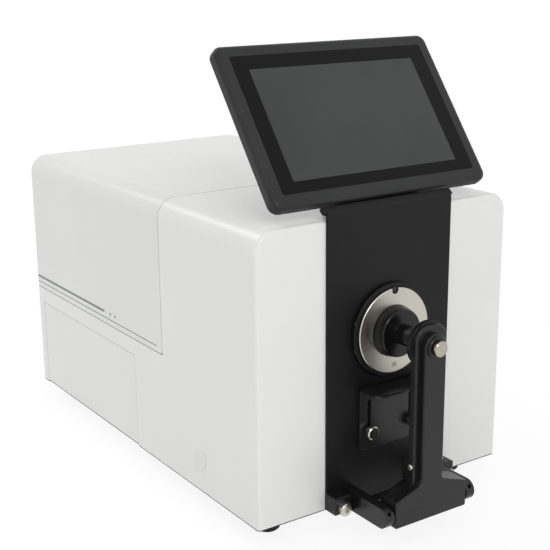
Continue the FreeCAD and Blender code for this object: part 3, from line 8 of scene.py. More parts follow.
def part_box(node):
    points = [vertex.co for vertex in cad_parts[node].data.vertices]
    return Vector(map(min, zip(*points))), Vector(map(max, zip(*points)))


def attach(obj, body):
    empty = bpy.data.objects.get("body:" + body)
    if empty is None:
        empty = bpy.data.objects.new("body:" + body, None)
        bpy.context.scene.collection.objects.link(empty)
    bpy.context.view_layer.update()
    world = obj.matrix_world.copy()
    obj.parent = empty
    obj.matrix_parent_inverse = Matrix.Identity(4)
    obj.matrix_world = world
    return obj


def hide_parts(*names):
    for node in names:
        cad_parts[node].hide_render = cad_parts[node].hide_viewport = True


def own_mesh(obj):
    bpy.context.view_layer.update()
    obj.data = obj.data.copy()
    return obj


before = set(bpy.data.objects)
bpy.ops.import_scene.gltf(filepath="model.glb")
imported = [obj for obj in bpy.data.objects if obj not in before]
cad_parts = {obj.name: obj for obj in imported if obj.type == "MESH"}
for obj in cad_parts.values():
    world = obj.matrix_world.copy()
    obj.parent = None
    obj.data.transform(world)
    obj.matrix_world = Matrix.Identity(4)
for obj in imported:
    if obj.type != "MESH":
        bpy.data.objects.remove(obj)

bpy.context.scene.view_settings.view_transform = "Standard"
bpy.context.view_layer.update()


# Main housing, side service panel and hole plugs: injection-moulded shells in warm white plastic.
# They leave the tool with a fine satin grain, and the panel and plugs snap in flush.
def new_finish(name):
    """Node material: its tree, its shader, and the object coordinates that patterns hang on."""
    finish = bpy.data.materials.new(name)
    finish.use_nodes = True
    tree = finish.node_tree
    place = tree.nodes.new("ShaderNodeTexCoord").outputs["Object"]
    return finish, tree, tree.nodes["Principled BSDF"], place


def noise(tree, place, scale, detail):
    node = tree.nodes.new("ShaderNodeTexNoise")
    node.inputs["Scale"].default_value = scale
    node.inputs["Detail"].default_value = detail
    tree.links.new(place, node.inputs["Vector"])
    return node.outputs["Fac"]


def between(tree, factor, low, high):
    """Number that follows a pattern from a low to a high value."""
    node = tree.nodes.new("ShaderNodeMapRange")
    node.inputs["From Min"].default_value = 0.3
    node.inputs["From Max"].default_value = 0.7
    node.inputs["To Min"].default_value = low
    node.inputs["To Max"].default_value = high
    tree.links.new(factor, node.inputs["Value"])
    return node.outputs["Result"]


def blended(tree, factor, first, second):
    """Colour that follows a pattern from a first to a second one, each a colour or a socket."""
    node = tree.nodes.new("ShaderNodeMix")
    node.data_type = "RGBA"
    tree.links.new(factor, node.inputs["Factor"])
    for socket, colour in ((node.inputs[6], first), (node.inputs[7], second)):
        if isinstance(colour, tuple):
            socket.default_value = (*colour, 1)
        else:
            tree.links.new(colour, socket)
    return node.outputs[2]


def relief(tree, shader, height, depth, strength, broken_edge=0.0):
    """Fine relief, over edges that are broken by the given radius so that they catch the light."""
    node = tree.nodes.new("ShaderNodeBump")
    node.inputs["Distance"].default_value = depth
    node.inputs["Strength"].default_value = strength
    tree.links.new(height, node.inputs["Height"])
    if broken_edge:
        rounding = tree.nodes.new("ShaderNodeBevel")
        rounding.samples = 6
        rounding.inputs["Radius"].default_value = broken_edge
        tree.links.new(rounding.outputs["Normal"], node.inputs["Normal"])
    tree.links.new(node.outputs["Normal"], shader.inputs["Normal"])


def grained(name, dark, light, drift, rough, grain, depth, strength=0.5, specular=0.5, metallic=0.0,
            broken_edge=0.0):
    """Finish with a slow drift of colour and a fine grain that the gloss and the relief follow."""
    finish, tree, shader, place = new_finish(name)
    broad = between(tree, noise(tree, place, drift, 3), 0, 1)
    fine = noise(tree, place, grain, 2)
    tree.links.new(blended(tree, broad, dark, light), shader.inputs["Base Color"])
    tree.links.new(between(tree, fine, *rough), shader.inputs["Roughness"])
    relief(tree, shader, fine, depth, strength, broken_edge)
    shader.inputs["Specular IOR Level"].default_value = specular
    shader.inputs["Metallic"].default_value = metallic
    return finish


def dress(finish, *nodes):
    """Gives CAD pieces a finish."""
    for node in nodes:
        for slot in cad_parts[node].material_slots:
            slot.material = finish


satin_grain, satin_depth = 1800, 0.00002
dress(grained("shell_white", (0.762, 0.769, 0.754), (0.786, 0.793, 0.780), 9, (0.20, 0.28),
              satin_grain, satin_depth), "main_housing")
dress(grained("service_white", (0.752, 0.756, 0.728), (0.776, 0.780, 0.755), 12, (0.24, 0.32),
              satin_grain, satin_depth), "side_service_panel")
dress(grained("plug_white", (0.735, 0.74, 0.72), (0.765, 0.77, 0.75), 60, (0.4, 0.5), 2400, 0.00003),
      "side_plugs")


# Hood lid over the transmission chamber: the same white moulding, hinged at the rear.
# Its left side is printed with a grey-green stripe, two dots and a hair line that run in from the rear.
def axis_value(tree, place, axis):
    node = tree.nodes.new("ShaderNodeSeparateXYZ")
    tree.links.new(place, node.inputs["Vector"])
    return node.outputs[axis]


def math_node(tree, operation, *values):
    node = tree.nodes.new("ShaderNodeMath")
    node.operation = operation
    for socket, value in zip(node.inputs, values):
        if isinstance(value, (int, float)):
            socket.default_value = value
        else:
            tree.links.new(value, socket)
    return node.outputs["Value"]


def within(tree, value, low, high):
    return math_node(tree, "COMPARE", value, (low + high) / 2, (high - low) / 2)


lid_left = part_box("lid")[0].x
body_low, body_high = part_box("main_housing")
front_y, rear_y, bottom_z = body_low.y, body_high.y, body_low.z
stripe_low, stripe_high, stripe_start = bottom_z + 0.1069, bottom_z + 0.1092, front_y + 0.245
hair_low, hair_high, hair_start = bottom_z + 0.1022, bottom_z + 0.1031, front_y + 0.149
dot_places, dot_half = (front_y + 0.2335, front_y + 0.2245), 0.0013
print_end, print_depth = rear_y + 0.001, 0.001
lid_white, lid_tree, lid_shader, lid_place = new_finish("lid_white")
lid_broad = between(lid_tree, noise(lid_tree, lid_place, 9, 3), 0, 1)
lid_fine = noise(lid_tree, lid_place, satin_grain, 2)
lid_x, lid_y, lid_z = (axis_value(lid_tree, lid_place, axis) for axis in "XYZ")
stripe = within(lid_tree, lid_z, stripe_low, stripe_high)
hair = within(lid_tree, lid_z, hair_low, hair_high)
ink = math_node(lid_tree, "MULTIPLY", stripe, within(lid_tree, lid_y, stripe_start, print_end))
for dot_y in dot_places:
    dot = math_node(lid_tree, "MULTIPLY", stripe,
                    within(lid_tree, lid_y, dot_y - dot_half, dot_y + dot_half))
    ink = math_node(lid_tree, "MAXIMUM", ink, dot)
hair = math_node(lid_tree, "MULTIPLY", hair, within(lid_tree, lid_y, hair_start, print_end))
ink = math_node(lid_tree, "MAXIMUM", ink, hair)
ink = math_node(lid_tree, "MULTIPLY", ink,
                math_node(lid_tree, "LESS_THAN", lid_x, lid_left + print_depth))
lid_plain = blended(lid_tree, lid_broad, (0.724, 0.731, 0.716), (0.747, 0.753, 0.741))
lid_printed = blended(lid_tree, ink, lid_plain, (0.15, 0.175, 0.165))
lid_tree.links.new(lid_printed, lid_shader.inputs["Base Color"])
lid_tree.links.new(between(lid_tree, lid_fine, 0.20, 0.28), lid_shader.inputs["Roughness"])
relief(lid_tree, lid_shader, lid_fine, satin_depth, 0.5)
dress(lid_white, "lid")


# Base plate: zinc-plated steel sheet with punched vents, drawn up to the housing's ledge by pan screws.
# The plating shows its crystal flowers and a faint rolling grain.
def spangled(name, dark, light, flower, rough):
    """Zinc finish: cells of slightly different grey and gloss, with a fine rolling grain."""
    finish, tree, shader, place = new_finish(name)
    cells = tree.nodes.new("ShaderNodeTexVoronoi")
    cells.inputs["Scale"].default_value = flower
    tree.links.new(place, cells.inputs["Vector"])
    shade = axis_value(tree, cells.outputs["Color"], "X")
    stretch = tree.nodes.new("ShaderNodeMapping")
    stretch.inputs["Scale"].default_value = (60, 1500, 1500)
    tree.links.new(place, stretch.inputs["Vector"])
    grain = noise(tree, stretch.outputs["Vector"], 1, 2)
    tree.links.new(blended(tree, shade, dark, light), shader.inputs["Base Color"])
    tree.links.new(between(tree, shade, *rough), shader.inputs["Roughness"])
    relief(tree, shader, grain, 0.00002, 0.4)
    shader.inputs["Metallic"].default_value = 1.0
    return finish


zinc = spangled("zinc_sheet", (0.48, 0.49, 0.50), (0.60, 0.61, 0.62), 140, (0.32, 0.48))
dress(zinc, "base_plate", "power_supply")


# Screws: nickel-plated pan heads with a cross for the driver. Each head is rounded over and
# has its cross sunk into it; the shanks are out of sight in their holes.
def bright(name, dark, light, rough):
    return grained(name, dark, light, 220, rough, 2600, 0.00001, 0.3, 0.5, 1.0)


bright_steel = bright("bright_steel", (0.53, 0.51, 0.465), (0.65, 0.63, 0.58), (0.16, 0.28))


def deselect():
    bpy.ops.object.select_all(action="DESELECT")


def applied(piece):
    """Puts a piece's place, turn and size into its mesh."""
    deselect()
    piece.select_set(True)
    bpy.context.view_layer.objects.active = piece
    bpy.ops.object.transform_apply(location=True, rotation=True, scale=True)
    return piece


def carve(piece, cutter):
    """Takes a cutter's shape out of a piece and drops the cutter."""
    cut = piece.modifiers.new("cut", "BOOLEAN")
    cut.object = cutter
    cut.solver = "EXACT"
    deselect()
    piece.select_set(True)
    bpy.context.view_layer.objects.active = piece
    bpy.ops.object.modifier_apply(modifier=cut.name)
    bpy.data.objects.remove(cutter)


def round_edges(piece, wanted, size, steps):
    """Rounds those edges of a piece for which wanted(edge) is true."""
    bpy.context.view_layer.objects.active = piece
    bpy.ops.object.mode_set(mode="EDIT")
    bpy.ops.mesh.select_all(action="DESELECT")
    bpy.ops.mesh.select_mode(type="EDGE")
    mesh = bmesh.from_edit_mesh(piece.data)
    for edge in mesh.edges:
        edge.select_set(wanted(edge))
    bmesh.update_edit_mesh(piece.data)
    bpy.ops.mesh.bevel(offset=size, segments=steps, affect="EDGES")
    bpy.ops.object.mode_set(mode="OBJECT")


def pan_head(radius, height):
    """Screw head on the origin, its axis along Z, with a cross cut to just over half its height."""
    cross_reach, cross_width, cross_height = radius * 1.15, radius * 0.24, height * 1.1
    deselect()
    bpy.ops.mesh.primitive_cylinder_add(vertices=40, radius=radius, depth=height,
                                        location=(0, 0, height / 2))
    head = applied(bpy.context.object)
    round_edges(head, lambda edge: all(v.co.z > height * 0.9 for v in edge.verts), height * 0.45, 4)
    for turn in (0, math.pi / 2):
        deselect()
        bpy.ops.mesh.primitive_cube_add(size=1, location=(0, 0, height), rotation=(0, 0, turn),
                                        scale=(cross_reach, cross_width, cross_height))
        carve(head, applied(bpy.context.object))
    return head


def spread_copies(name, model, places, direction):
    """One piece made of copies of a model that stands along Z, each at its place and turned that way."""
    turn = Vector(direction).to_track_quat("Z", "Y").to_matrix().to_4x4()
    deselect()
    for place in places:
        copy = model.copy()
        copy.data = model.data.copy()
        copy.data.transform(Matrix.Translation(place) @ turn)
        bpy.context.scene.collection.objects.link(copy)
        copy.select_set(True)
        bpy.context.view_layer.objects.active = copy
    bpy.ops.object.join()
    piece = bpy.context.object
    piece.name = name
    bpy.ops.object.shade_smooth_by_angle(angle=math.radians(35))
    bpy.data.objects.remove(model)
    return piece


def give_finish(piece, finish):
    piece.data.materials.clear()
    piece.data.materials.append(finish)


def pan_screws(name, node, radius, height, places, direction, body):
    """Finished heads as one piece, which stands for a CAD screw group where one is named."""
    heads = spread_copies(name, pan_head(radius, height), places, direction)
    give_finish(heads, bright_steel)
    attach(heads, body)
    if node:
        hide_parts(node)


base_low, base_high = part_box("base_screws")
base_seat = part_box("base_plate")[0].z
base_radius, base_height = 0.0032, 0.0018
base_start, base_end = base_low.y + base_radius, base_high.y - base_radius
ledge_shares = (0.03, 0.35, 0.65, 0.97)
ledge_span = ledge_shares[-1] - ledge_shares[0]
base_rows = [base_start + (share - ledge_shares[0]) / ledge_span * (base_end - base_start)
             for share in ledge_shares]
base_places = [(x, y, base_seat) for x in (base_low.x + base_radius, base_high.x - base_radius)
               for y in base_rows]
pan_screws("base_screw_heads", "base_screws", base_radius, base_height, base_places, (0, 0, -1), "housing")


# Feet: moulded black rubber cones, each held by a screw down in its socket.
# The rubber is matt, with a little dust in its pores.
foot_rubber = grained("foot_rubber", (0.014, 0.014, 0.014), (0.026, 0.026, 0.025), 130, (0.68, 0.85), 900,
                      0.00008, 0.6, 0.3)
dress(foot_rubber, "rubber_feet", "lid_bumpers")
feet_low, feet_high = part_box("rubber_feet")
foot_radius, socket_top = 0.0115, 0.005
foot_screw_radius, foot_screw_height = 0.0036, 0.0022
foot_places = [(x, y, socket_top) for x in (feet_low.x + foot_radius, feet_high.x - foot_radius)
               for y in (feet_low.y + foot_radius, feet_high.y - foot_radius)]
pan_screws("foot_screws", None, foot_screw_radius, foot_screw_height, foot_places, (0, 0, -1), "housing")


# Edge strip: a thin black strip in the feet's rubber under the housing's lower rim. It is painted shade, a
# dark sheet that stands in for the line of shade along the base.
# The service panel carries its own length a millimetre higher, and the main strip stops on both sides of it.
strip_height, strip_width, strip_edge = 0.0009, 0.003, 0.0002
rim_round, set_back, strip_break, strip_inset = 0.003, 0.0001, 0.001, 0.0006
service_low, service_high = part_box("side_service_panel")
service_y, service_length = (service_low.y + service_high.y) / 2, service_high.y - service_low.y


def finish_strip(strip, top):
    """Breaks the lower corners of a strip that hangs under the given height, and fixes it."""
    round_edges(strip, lambda edge: edge.calc_face_angle(0) > 0.5
                and all(v.co.z < top - strip_height * 0.9 for v in edge.verts), strip_edge, 2)
    give_finish(strip, foot_rubber)
    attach(strip, "housing")


# Painted shade: a thin dark strip round the housing's lower rim.
deselect()
bpy.ops.mesh.primitive_plane_add(size=1, location=(0, (front_y + rear_y) / 2, bottom_z))
rim_shade_strip = bpy.context.object
rim_shade_strip.name = "base_shade_strip"
rim_shade_strip.scale = (body_high.x - body_low.x - 2 * set_back, rear_y - front_y - 2 * set_back, 1)
applied(rim_shade_strip)
bpy.ops.object.mode_set(mode="EDIT")
bpy.ops.mesh.select_all(action="SELECT")
bpy.ops.mesh.bevel(offset=rim_round, segments=6, affect="VERTICES")
bpy.ops.mesh.select_all(action="SELECT")
bpy.ops.mesh.inset(thickness=strip_width)
bpy.ops.mesh.delete(type="FACE")
bpy.ops.mesh.select_all(action="SELECT")
bpy.ops.mesh.extrude_region_move(TRANSFORM_OT_translate={"value": (0, 0, -strip_height)})
bpy.ops.mesh.select_all(action="SELECT")
bpy.ops.mesh.normals_make_consistent(inside=False)
bpy.ops.object.mode_set(mode="OBJECT")
deselect()
bpy.ops.mesh.primitive_cube_add(size=1, location=(body_low.x, service_y, bottom_z),
                                scale=(0.02, service_length + strip_break, 0.01))
carve(rim_shade_strip, applied(bpy.context.object))
finish_strip(rim_shade_strip, bottom_z)

# Painted shade: the service panel's own length of the dark strip.
deselect()
bpy.ops.mesh.primitive_cube_add(
    size=1, location=((service_low.x + service_high.x) / 2, service_y, service_low.z - strip_height / 2),
    scale=(service_high.x - service_low.x - strip_inset, service_length, strip_height))
service_shade_strip = applied(bpy.context.object)
service_shade_strip.name = "service_panel_shade_strip"
finish_strip(service_shade_strip, service_low.z)


# Rear connector panel: zinc-plated plate let into the back, with a mains inlet, a rocker switch,
# two USB sockets and a nine-way serial connector, held by four pan screws.
black_plastic = grained("black_plastic", (0.010, 0.010, 0.0105), (0.017, 0.017, 0.018), 70,
                        (0.42, 0.56), 1700, 0.00003, 0.5, 0.4, 0.0, 0.0003)
dress(spangled("panel_zinc", (0.42, 0.43, 0.44), (0.52, 0.53, 0.54), 170, (0.36, 0.52)), "rear_io_panel")
dress(black_plastic, "power_inlet", "switch_frame", "power_switch")
dress(bright("connector_shell", (0.52, 0.52, 0.50), (0.64, 0.64, 0.62), (0.22, 0.36)),
      "usb_ports", "serial_port")
io_low, io_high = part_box("io_panel_screws")
io_radius, io_height = 0.0028, 0.0016
io_places = [(x, rear_y, z) for x in (io_low.x + io_radius, io_high.x - io_radius)
             for z in (io_low.z + io_radius, io_high.z - io_radius)]
pan_screws("io_screw_heads", "io_panel_screws", io_radius, io_height, io_places, (0, 1, 0), "housing")

inlet_low, inlet_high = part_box("power_inlet")
inlet_middle = (inlet_low + inlet_high) / 2
blade_thick, blade_width, blade_length, blade_edge = 0.002, 0.0042, 0.011, 0.0007
blade_apart, blade_rise, blade_floor = 0.007, 0.002, inlet_high.y - 0.015
deselect()
bpy.ops.mesh.primitive_cube_add(size=1, location=(0, 0, blade_length / 2),
                                scale=(blade_thick, blade_width, blade_length))
blade = applied(bpy.context.object)
round_edges(blade, lambda edge: all(v.co.z > blade_length * 0.9 for v in edge.verts), blade_edge, 2)
blade_places = [(inlet_middle.x + step * blade_apart, blade_floor, inlet_middle.z + rise * blade_rise)
                for step, rise in ((-1, -1), (1, -1), (0, 1))]
blades = spread_copies("inlet_blades", blade, blade_places, (0, 1, 0))
give_finish(blades, bright_steel)
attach(blades, "housing")

serial_low, serial_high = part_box("serial_port")
serial_middle = (serial_low + serial_high) / 2
contact_radius, contact_length, contact_tip = 0.0005, 0.005, 0.0003
contact_pitch, contact_row, contact_y = 0.00277, 0.00142, rear_y + 0.001
deselect()
bpy.ops.mesh.primitive_cylinder_add(vertices=16, radius=contact_radius, depth=contact_length,
                                    location=(0, 0, contact_length / 2))
contact = applied(bpy.context.object)
round_edges(contact, lambda edge: all(v.co.z > contact_length * 0.8 for v in edge.verts), contact_tip, 2)
contact_places = [(serial_middle.x + (i - (count - 1) / 2) * contact_pitch, contact_y, serial_middle.z + row)
                  for count, row in ((5, contact_row), (4, -contact_row)) for i in range(count)]
contacts = spread_copies("serial_contacts", contact, contact_places, (0, 1, 0))
give_finish(contacts, bright("gold_contact", (0.70, 0.50, 0.20), (0.80, 0.60, 0.28), (0.2, 0.3)))
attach(contacts, "housing")


# Lid hinges: steel leaves rolled round a pin, screwed to the back wall and to the lid.
# Each leaf has two screws; rubber bumpers inside the lid take its weight at the front.
dress(bright("hinge_steel", (0.54, 0.54, 0.53), (0.66, 0.66, 0.65), (0.22, 0.34)),
      "lid_hinge_lower_leaves", "lid_hinge_upper_leaves", "lid_hinge_pins")
hinge_x, hinge_screw_step, hinge_screw_inset, hinge_sheet = 0.070, 0.014, 0.0095, 0.0024
hinge_screw_radius, hinge_screw_height = 0.0029, 0.0012
for leaf_node, leaf_body in (("lid_hinge_lower_leaves", "housing"), ("lid_hinge_upper_leaves", "lid")):
    leaf_low, leaf_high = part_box(leaf_node)
    leaf_z = leaf_low.z + hinge_screw_inset if leaf_body == "housing" else leaf_high.z - hinge_screw_inset
    leaf_places = [(side * (hinge_x + step), rear_y + hinge_sheet, leaf_z) for side in (-1, 1)
                   for step in (-hinge_screw_step, hinge_screw_step)]
    pan_screws(leaf_node + "_screws", None, hinge_screw_radius, hinge_screw_height, leaf_places, (0, 1, 0),
               leaf_body)


# Integrating sphere: two cast and machined alloy halves on a stand, coated matt white inside,
# with the flash lamp's finned housing on its side.
def machined(name, dark, light, rough, line):
    """Light alloy with the fine parallel lines that a cutter leaves."""
    finish, tree, shader, place = new_finish(name)
    stretch = tree.nodes.new("ShaderNodeMapping")
    stretch.inputs["Scale"].default_value = (line, line / 40, line)
    tree.links.new(place, stretch.inputs["Vector"])
    lines = noise(tree, stretch.outputs["Vector"], 1, 2)
    broad = between(tree, noise(tree, place, 30, 3), 0, 1)
    tree.links.new(blended(tree, broad, dark, light), shader.inputs["Base Color"])
    tree.links.new(between(tree, lines, *rough), shader.inputs["Roughness"])
    relief(tree, shader, lines, 0.00002, 0.4)
    shader.inputs["Metallic"].default_value = 1.0
    return finish


alloy_dark, alloy_light = (0.50, 0.50, 0.50), (0.60, 0.60, 0.605)
dress(machined("machined_alloy", alloy_dark, alloy_light, (0.34, 0.5), 1400),
      "sphere_stand", "lamp_housing", "transmission_port", "collection_lens_tube")
sphere_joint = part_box("sphere_rear_half")[0].y
rim_low, rim_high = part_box("port_rim")
port_z = (rim_low.z + rim_high.z) / 2
coated_radius = 0.0575
sphere_finish, sphere_tree, sphere_shader, sphere_place = new_finish("coated_sphere")
reach = sphere_tree.nodes.new("ShaderNodeVectorMath")
reach.operation = "DISTANCE"
reach.inputs[1].default_value = (0, sphere_joint, port_z)
sphere_tree.links.new(sphere_place, reach.inputs[0])
coated = math_node(sphere_tree, "LESS_THAN", reach.outputs["Value"], coated_radius)
sphere_grain = noise(sphere_tree, sphere_place, 1300, 2)
alloy = blended(sphere_tree, between(sphere_tree, noise(sphere_tree, sphere_place, 30, 3), 0, 1),
                alloy_dark, alloy_light)
sphere_tree.links.new(blended(sphere_tree, coated, alloy, (0.93, 0.93, 0.925)),
                      sphere_shader.inputs["Base Color"])
sphere_tree.links.new(math_node(sphere_tree, "SUBTRACT", 1.0, coated), sphere_shader.inputs["Metallic"])
alloy_rough = between(sphere_tree, sphere_grain, 0.42, 0.55)
sphere_tree.links.new(math_node(sphere_tree, "MULTIPLY_ADD", coated, 0.4, alloy_rough),
                      sphere_shader.inputs["Roughness"])
relief(sphere_tree, sphere_shader, sphere_grain, 0.00005, 0.5)
dress(sphere_finish, "sphere_front_half", "sphere_rear_half")


# Lamp and collection lens: clear glass, ground and polished, with the last faint smears of handling.
# The lens drops into its tube against a shoulder.
def clear_glass(name, tint):
    finish, tree, shader, place = new_finish(name)
    smear = noise(tree, place, 160, 4)
    tree.links.new(between(tree, smear, 0.0, 0.06), shader.inputs["Roughness"])
    shader.inputs["Base Color"].default_value = (*tint, 1)
    shader.inputs["Transmission Weight"].default_value = 1.0
    shader.inputs["IOR"].default_value = 1.5
    return finish


dress(clear_glass("lamp_glass", (0.94, 0.96, 0.97)), "lamp_bulb")
dress(clear_glass("lens_glass", (0.90, 0.95, 0.96)), "collection_lens")


# Transmission chamber: black-coated sample holder with two spring clips, and the sealed spectrometer
# box behind it with a screwed cover, both on the deck under the lid.
black_coat = grained("black_powder_coat", (0.0030, 0.0030, 0.0032), (0.0052, 0.0052, 0.0055), 40,
                     (0.40, 0.52), 1500, 0.00005, 0.4, 0.22, 0.0, 0.0004)
dress(black_coat, "transmission_holder")
dress(bright_steel, "holder_clips")
dress(grained("box_paint", (0.055, 0.056, 0.058), (0.075, 0.076, 0.078), 35, (0.4, 0.55), 1400, 0.00005,
              0.5, 0.4), "spectrometer_box", "spectrometer_cover")
cover_low, cover_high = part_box("spectrometer_cover")
cover_inset, cover_screw_radius, cover_screw_height = 0.008, 0.0027, 0.0015
cover_places = [(x, y, cover_high.z) for x in (cover_low.x + cover_inset, cover_high.x - cover_inset)
                for y in (cover_low.y + cover_inset, cover_high.y - cover_inset)]
pan_screws("spectrometer_cover_screws", None, cover_screw_radius, cover_screw_height, cover_places, (0, 0, 1),
           "housing")


# Main board: green laminate with its copper runs under the varnish, chips in black resin,
# stood off the base on turned brass posts.
board_finish, board_tree, board_shader, board_place = new_finish("board_laminate")
board_cells = board_tree.nodes.new("ShaderNodeTexVoronoi")
board_cells.distance = "MANHATTAN"
board_cells.inputs["Scale"].default_value = 260
board_tree.links.new(board_place, board_cells.inputs["Vector"])
copper = math_node(board_tree, "LESS_THAN", board_cells.outputs["Distance"], 0.32)
laminate_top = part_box("main_board")[0].z + 0.0018
chip = math_node(board_tree, "GREATER_THAN", axis_value(board_tree, board_place, "Z"), laminate_top)
varnish = blended(board_tree, copper, (0.012, 0.075, 0.03), (0.03, 0.14, 0.06))
board_tree.links.new(blended(board_tree, chip, varnish, (0.012, 0.012, 0.013)),
                     board_shader.inputs["Base Color"])
board_tree.links.new(between(board_tree, noise(board_tree, board_place, 700, 2), 0.3, 0.5),
                     board_shader.inputs["Roughness"])
dress(board_finish, "main_board")
dress(bright("turned_brass", (0.62, 0.43, 0.16), (0.74, 0.54, 0.24), (0.22, 0.34)), "board_standoffs")


# Front panel: steel plate with a satin black powder coat, screwed over the middle of the front. Its top is
# bent back as a lip, which is a little wider at its rounded ends. The rim that seats the aperture ring is of
# the same coated metal, with four blackened grub screws in its edge.
dress(black_coat, "front_panel", "port_rim")
panel_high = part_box("front_panel")[1]
panel_sheet, lip_lean = 0.002, math.radians(50)
lip_end_width, lip_end_length, lip_end_round = 0.0026, 0.006, 0.0012
deselect()
bpy.ops.mesh.primitive_cube_add(
    size=1, scale=(lip_end_width, panel_sheet, lip_end_length),
    location=(panel_high.x + lip_end_width / 2, panel_sheet / 2, -lip_end_length / 2))
lip_right = applied(bpy.context.object)
round_edges(lip_right, lambda edge: all(v.co.x > panel_high.x + lip_end_width * 0.9 for v in edge.verts)
            and abs(edge.verts[0].co.y - edge.verts[1].co.y) > panel_sheet / 2, lip_end_round, 4)
lip_left = lip_right.copy()
lip_left.data = lip_right.data.copy()
bpy.context.scene.collection.objects.link(lip_left)
lip_left.data.transform(Matrix.Scale(-1, 4, (1, 0, 0)))
lip_left.data.flip_normals()
lip_line = Matrix.Translation((0, panel_high.y - panel_sheet * math.cos(lip_lean), panel_high.z))
for hand, lip_end in (("left", lip_left), ("right", lip_right)):
    lip_end.name = "panel_lip_end_" + hand
    lip_end.data.transform(lip_line @ Matrix.Rotation(-lip_lean, 4, "X"))
    give_finish(lip_end, black_coat)
    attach(lip_end, "housing")

blackened_steel = grained("blackened_steel", (0.010, 0.010, 0.0105), (0.022, 0.022, 0.022), 700,
                          (0.3, 0.45), 2600, 0.00001, 0.3, 0.5, 0.0, 0.0003)
rim_radius = (rim_high.x - rim_low.x) / 2
grub_radius, grub_height, grub_edge, grub_sunk = 0.0015, 0.0014, 0.0004, 0.0004
hex_radius, hex_depth, grub_lean = 0.0008, 0.0012, math.radians(17.5)
deselect()
bpy.ops.mesh.primitive_cylinder_add(vertices=28, radius=grub_radius, depth=grub_height, location=(0, 0, 0))
grub = applied(bpy.context.object)
round_edges(grub, lambda edge: all(v.co.z > grub_height * 0.4 for v in edge.verts), grub_edge, 3)
deselect()
bpy.ops.mesh.primitive_cylinder_add(vertices=6, radius=hex_radius, depth=hex_depth,
                                    location=(0, 0, grub_height / 2))
carve(grub, applied(bpy.context.object))
for hand, side in (("left", -1), ("right", 1)):
    for tier, rise in (("upper", 1), ("lower", -1)):
        outward = Vector((side * math.cos(grub_lean), 0, rise * math.sin(grub_lean)))
        seat = Vector((0, (rim_low.y + rim_high.y) / 2, port_z)) + outward * (rim_radius - grub_sunk)
        start = grub.copy()
        start.data = grub.data.copy()
        bpy.context.scene.collection.objects.link(start)
        screw = spread_copies("rim_screw_" + hand + "_" + tier, start, [seat], outward)
        give_finish(screw, blackened_steel)
        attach(screw, "housing")
bpy.data.objects.remove(grub)


# Aperture ring: a stainless disc faced on a lathe, dropped into the rim over a black locating pin.
# Its face keeps the turning lines and is marked with its opening in millimetres.
ring_finish, ring_tree, ring_shader, ring_place = new_finish("turned_steel")
centred = ring_tree.nodes.new("ShaderNodeMapping")
centred.inputs["Location"].default_value = (0, 0, -port_z)
ring_tree.links.new(ring_place, centred.inputs["Vector"])
turning = ring_tree.nodes.new("ShaderNodeTexWave")
turning.wave_type = "RINGS"
turning.rings_direction = "Y"
turning.inputs["Scale"].default_value = 420
turning.inputs["Distortion"].default_value = 0.6
turning.inputs["Detail"].default_value = 1
ring_tree.links.new(centred.outputs["Vector"], turning.inputs["Vector"])
ring_tree.links.new(blended(ring_tree, turning.outputs["Fac"], (0.50, 0.48, 0.43), (0.58, 0.555, 0.50)),
                    ring_shader.inputs["Base Color"])
ring_tree.links.new(between(ring_tree, turning.outputs["Fac"], 0.26, 0.36), ring_shader.inputs["Roughness"])
relief(ring_tree, ring_shader, turning.outputs["Fac"], 0.00002, 0.2)
ring_shader.inputs["Metallic"].default_value = 1.0
ring_shader.inputs["Anisotropic"].default_value = 0.6
swirl = ring_tree.nodes.new("ShaderNodeTangent")
swirl.direction_type = "RADIAL"
swirl.axis = "Y"
ring_tree.links.new(swirl.outputs["Tangent"], ring_shader.inputs["Tangent"])
dress(ring_finish, "aperture_ring")
dress(black_plastic, "locating_pin")

mark_size, mark_drop, mark_relief = 0.0052, 0.0272, 0.00004
ring_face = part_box("aperture_ring")[0].y
deselect()
bpy.ops.object.text_add(location=(0, ring_face - mark_relief / 2, port_z - mark_drop),
                        rotation=(math.pi / 2, 0, 0))
mark = bpy.context.object
mark.data.body = "30"
mark.data.size = mark_size
mark.data.extrude = mark_relief
mark.data.align_x = "CENTER"
mark.data.align_y = "CENTER"
bpy.ops.object.convert(target="MESH")
mark = applied(bpy.context.object)
mark.name = "ring_mark"
give_finish(mark, grained("engraved_fill", (0.02, 0.02, 0.02), (0.05, 0.05, 0.05), 900, (0.5, 0.7), 3000,
                          0.00002))
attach(mark, "housing")


# Sample shelf: bent steel sheet with a smoother satin black coat, slotted so that it slides up and down.
# Its thumbscrews are turned and nickel-plated, with a straight knurl round the head.
dress(grained("satin_black", (0.0085, 0.0085, 0.0095), (0.0125, 0.0125, 0.0138), 45, (0.26, 0.36), 1900,
              0.00003, 0.4, 0.42, 0.0, 0.0004), "sample_shelf")
dress(bright_steel, "shelf_thumbscrew_left", "shelf_thumbscrew_right")


def knurled_band(name, radius, length, place, body):
    """Band of straight ridges round a screw head whose axis lies along Y."""
    ridge_inset, ridge_height = 0.00005, 0.0002
    deselect()
    bpy.ops.mesh.primitive_cylinder_add(vertices=72, radius=radius, depth=length, location=place,
                                        rotation=(math.pi / 2, 0, 0))
    band = applied(bpy.context.object)
    band.name = name
    bpy.ops.object.mode_set(mode="EDIT")
    bpy.ops.mesh.select_all(action="DESELECT")
    bpy.ops.mesh.select_mode(type="FACE")
    mesh = bmesh.from_edit_mesh(band.data)
    rim = sorted((face for face in mesh.faces if abs(face.normal.y) < 0.5),
                 key=lambda face: math.atan2(face.normal.x, face.normal.z))
    for face in rim[::2]:
        face.select_set(True)
    bmesh.update_edit_mesh(band.data)
    bpy.ops.mesh.inset(thickness=ridge_inset, use_individual=True)
    bpy.ops.transform.shrink_fatten(value=ridge_height)
    bpy.ops.object.mode_set(mode="OBJECT")
    give_finish(band, bright_steel)
    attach(band, body)
    return band


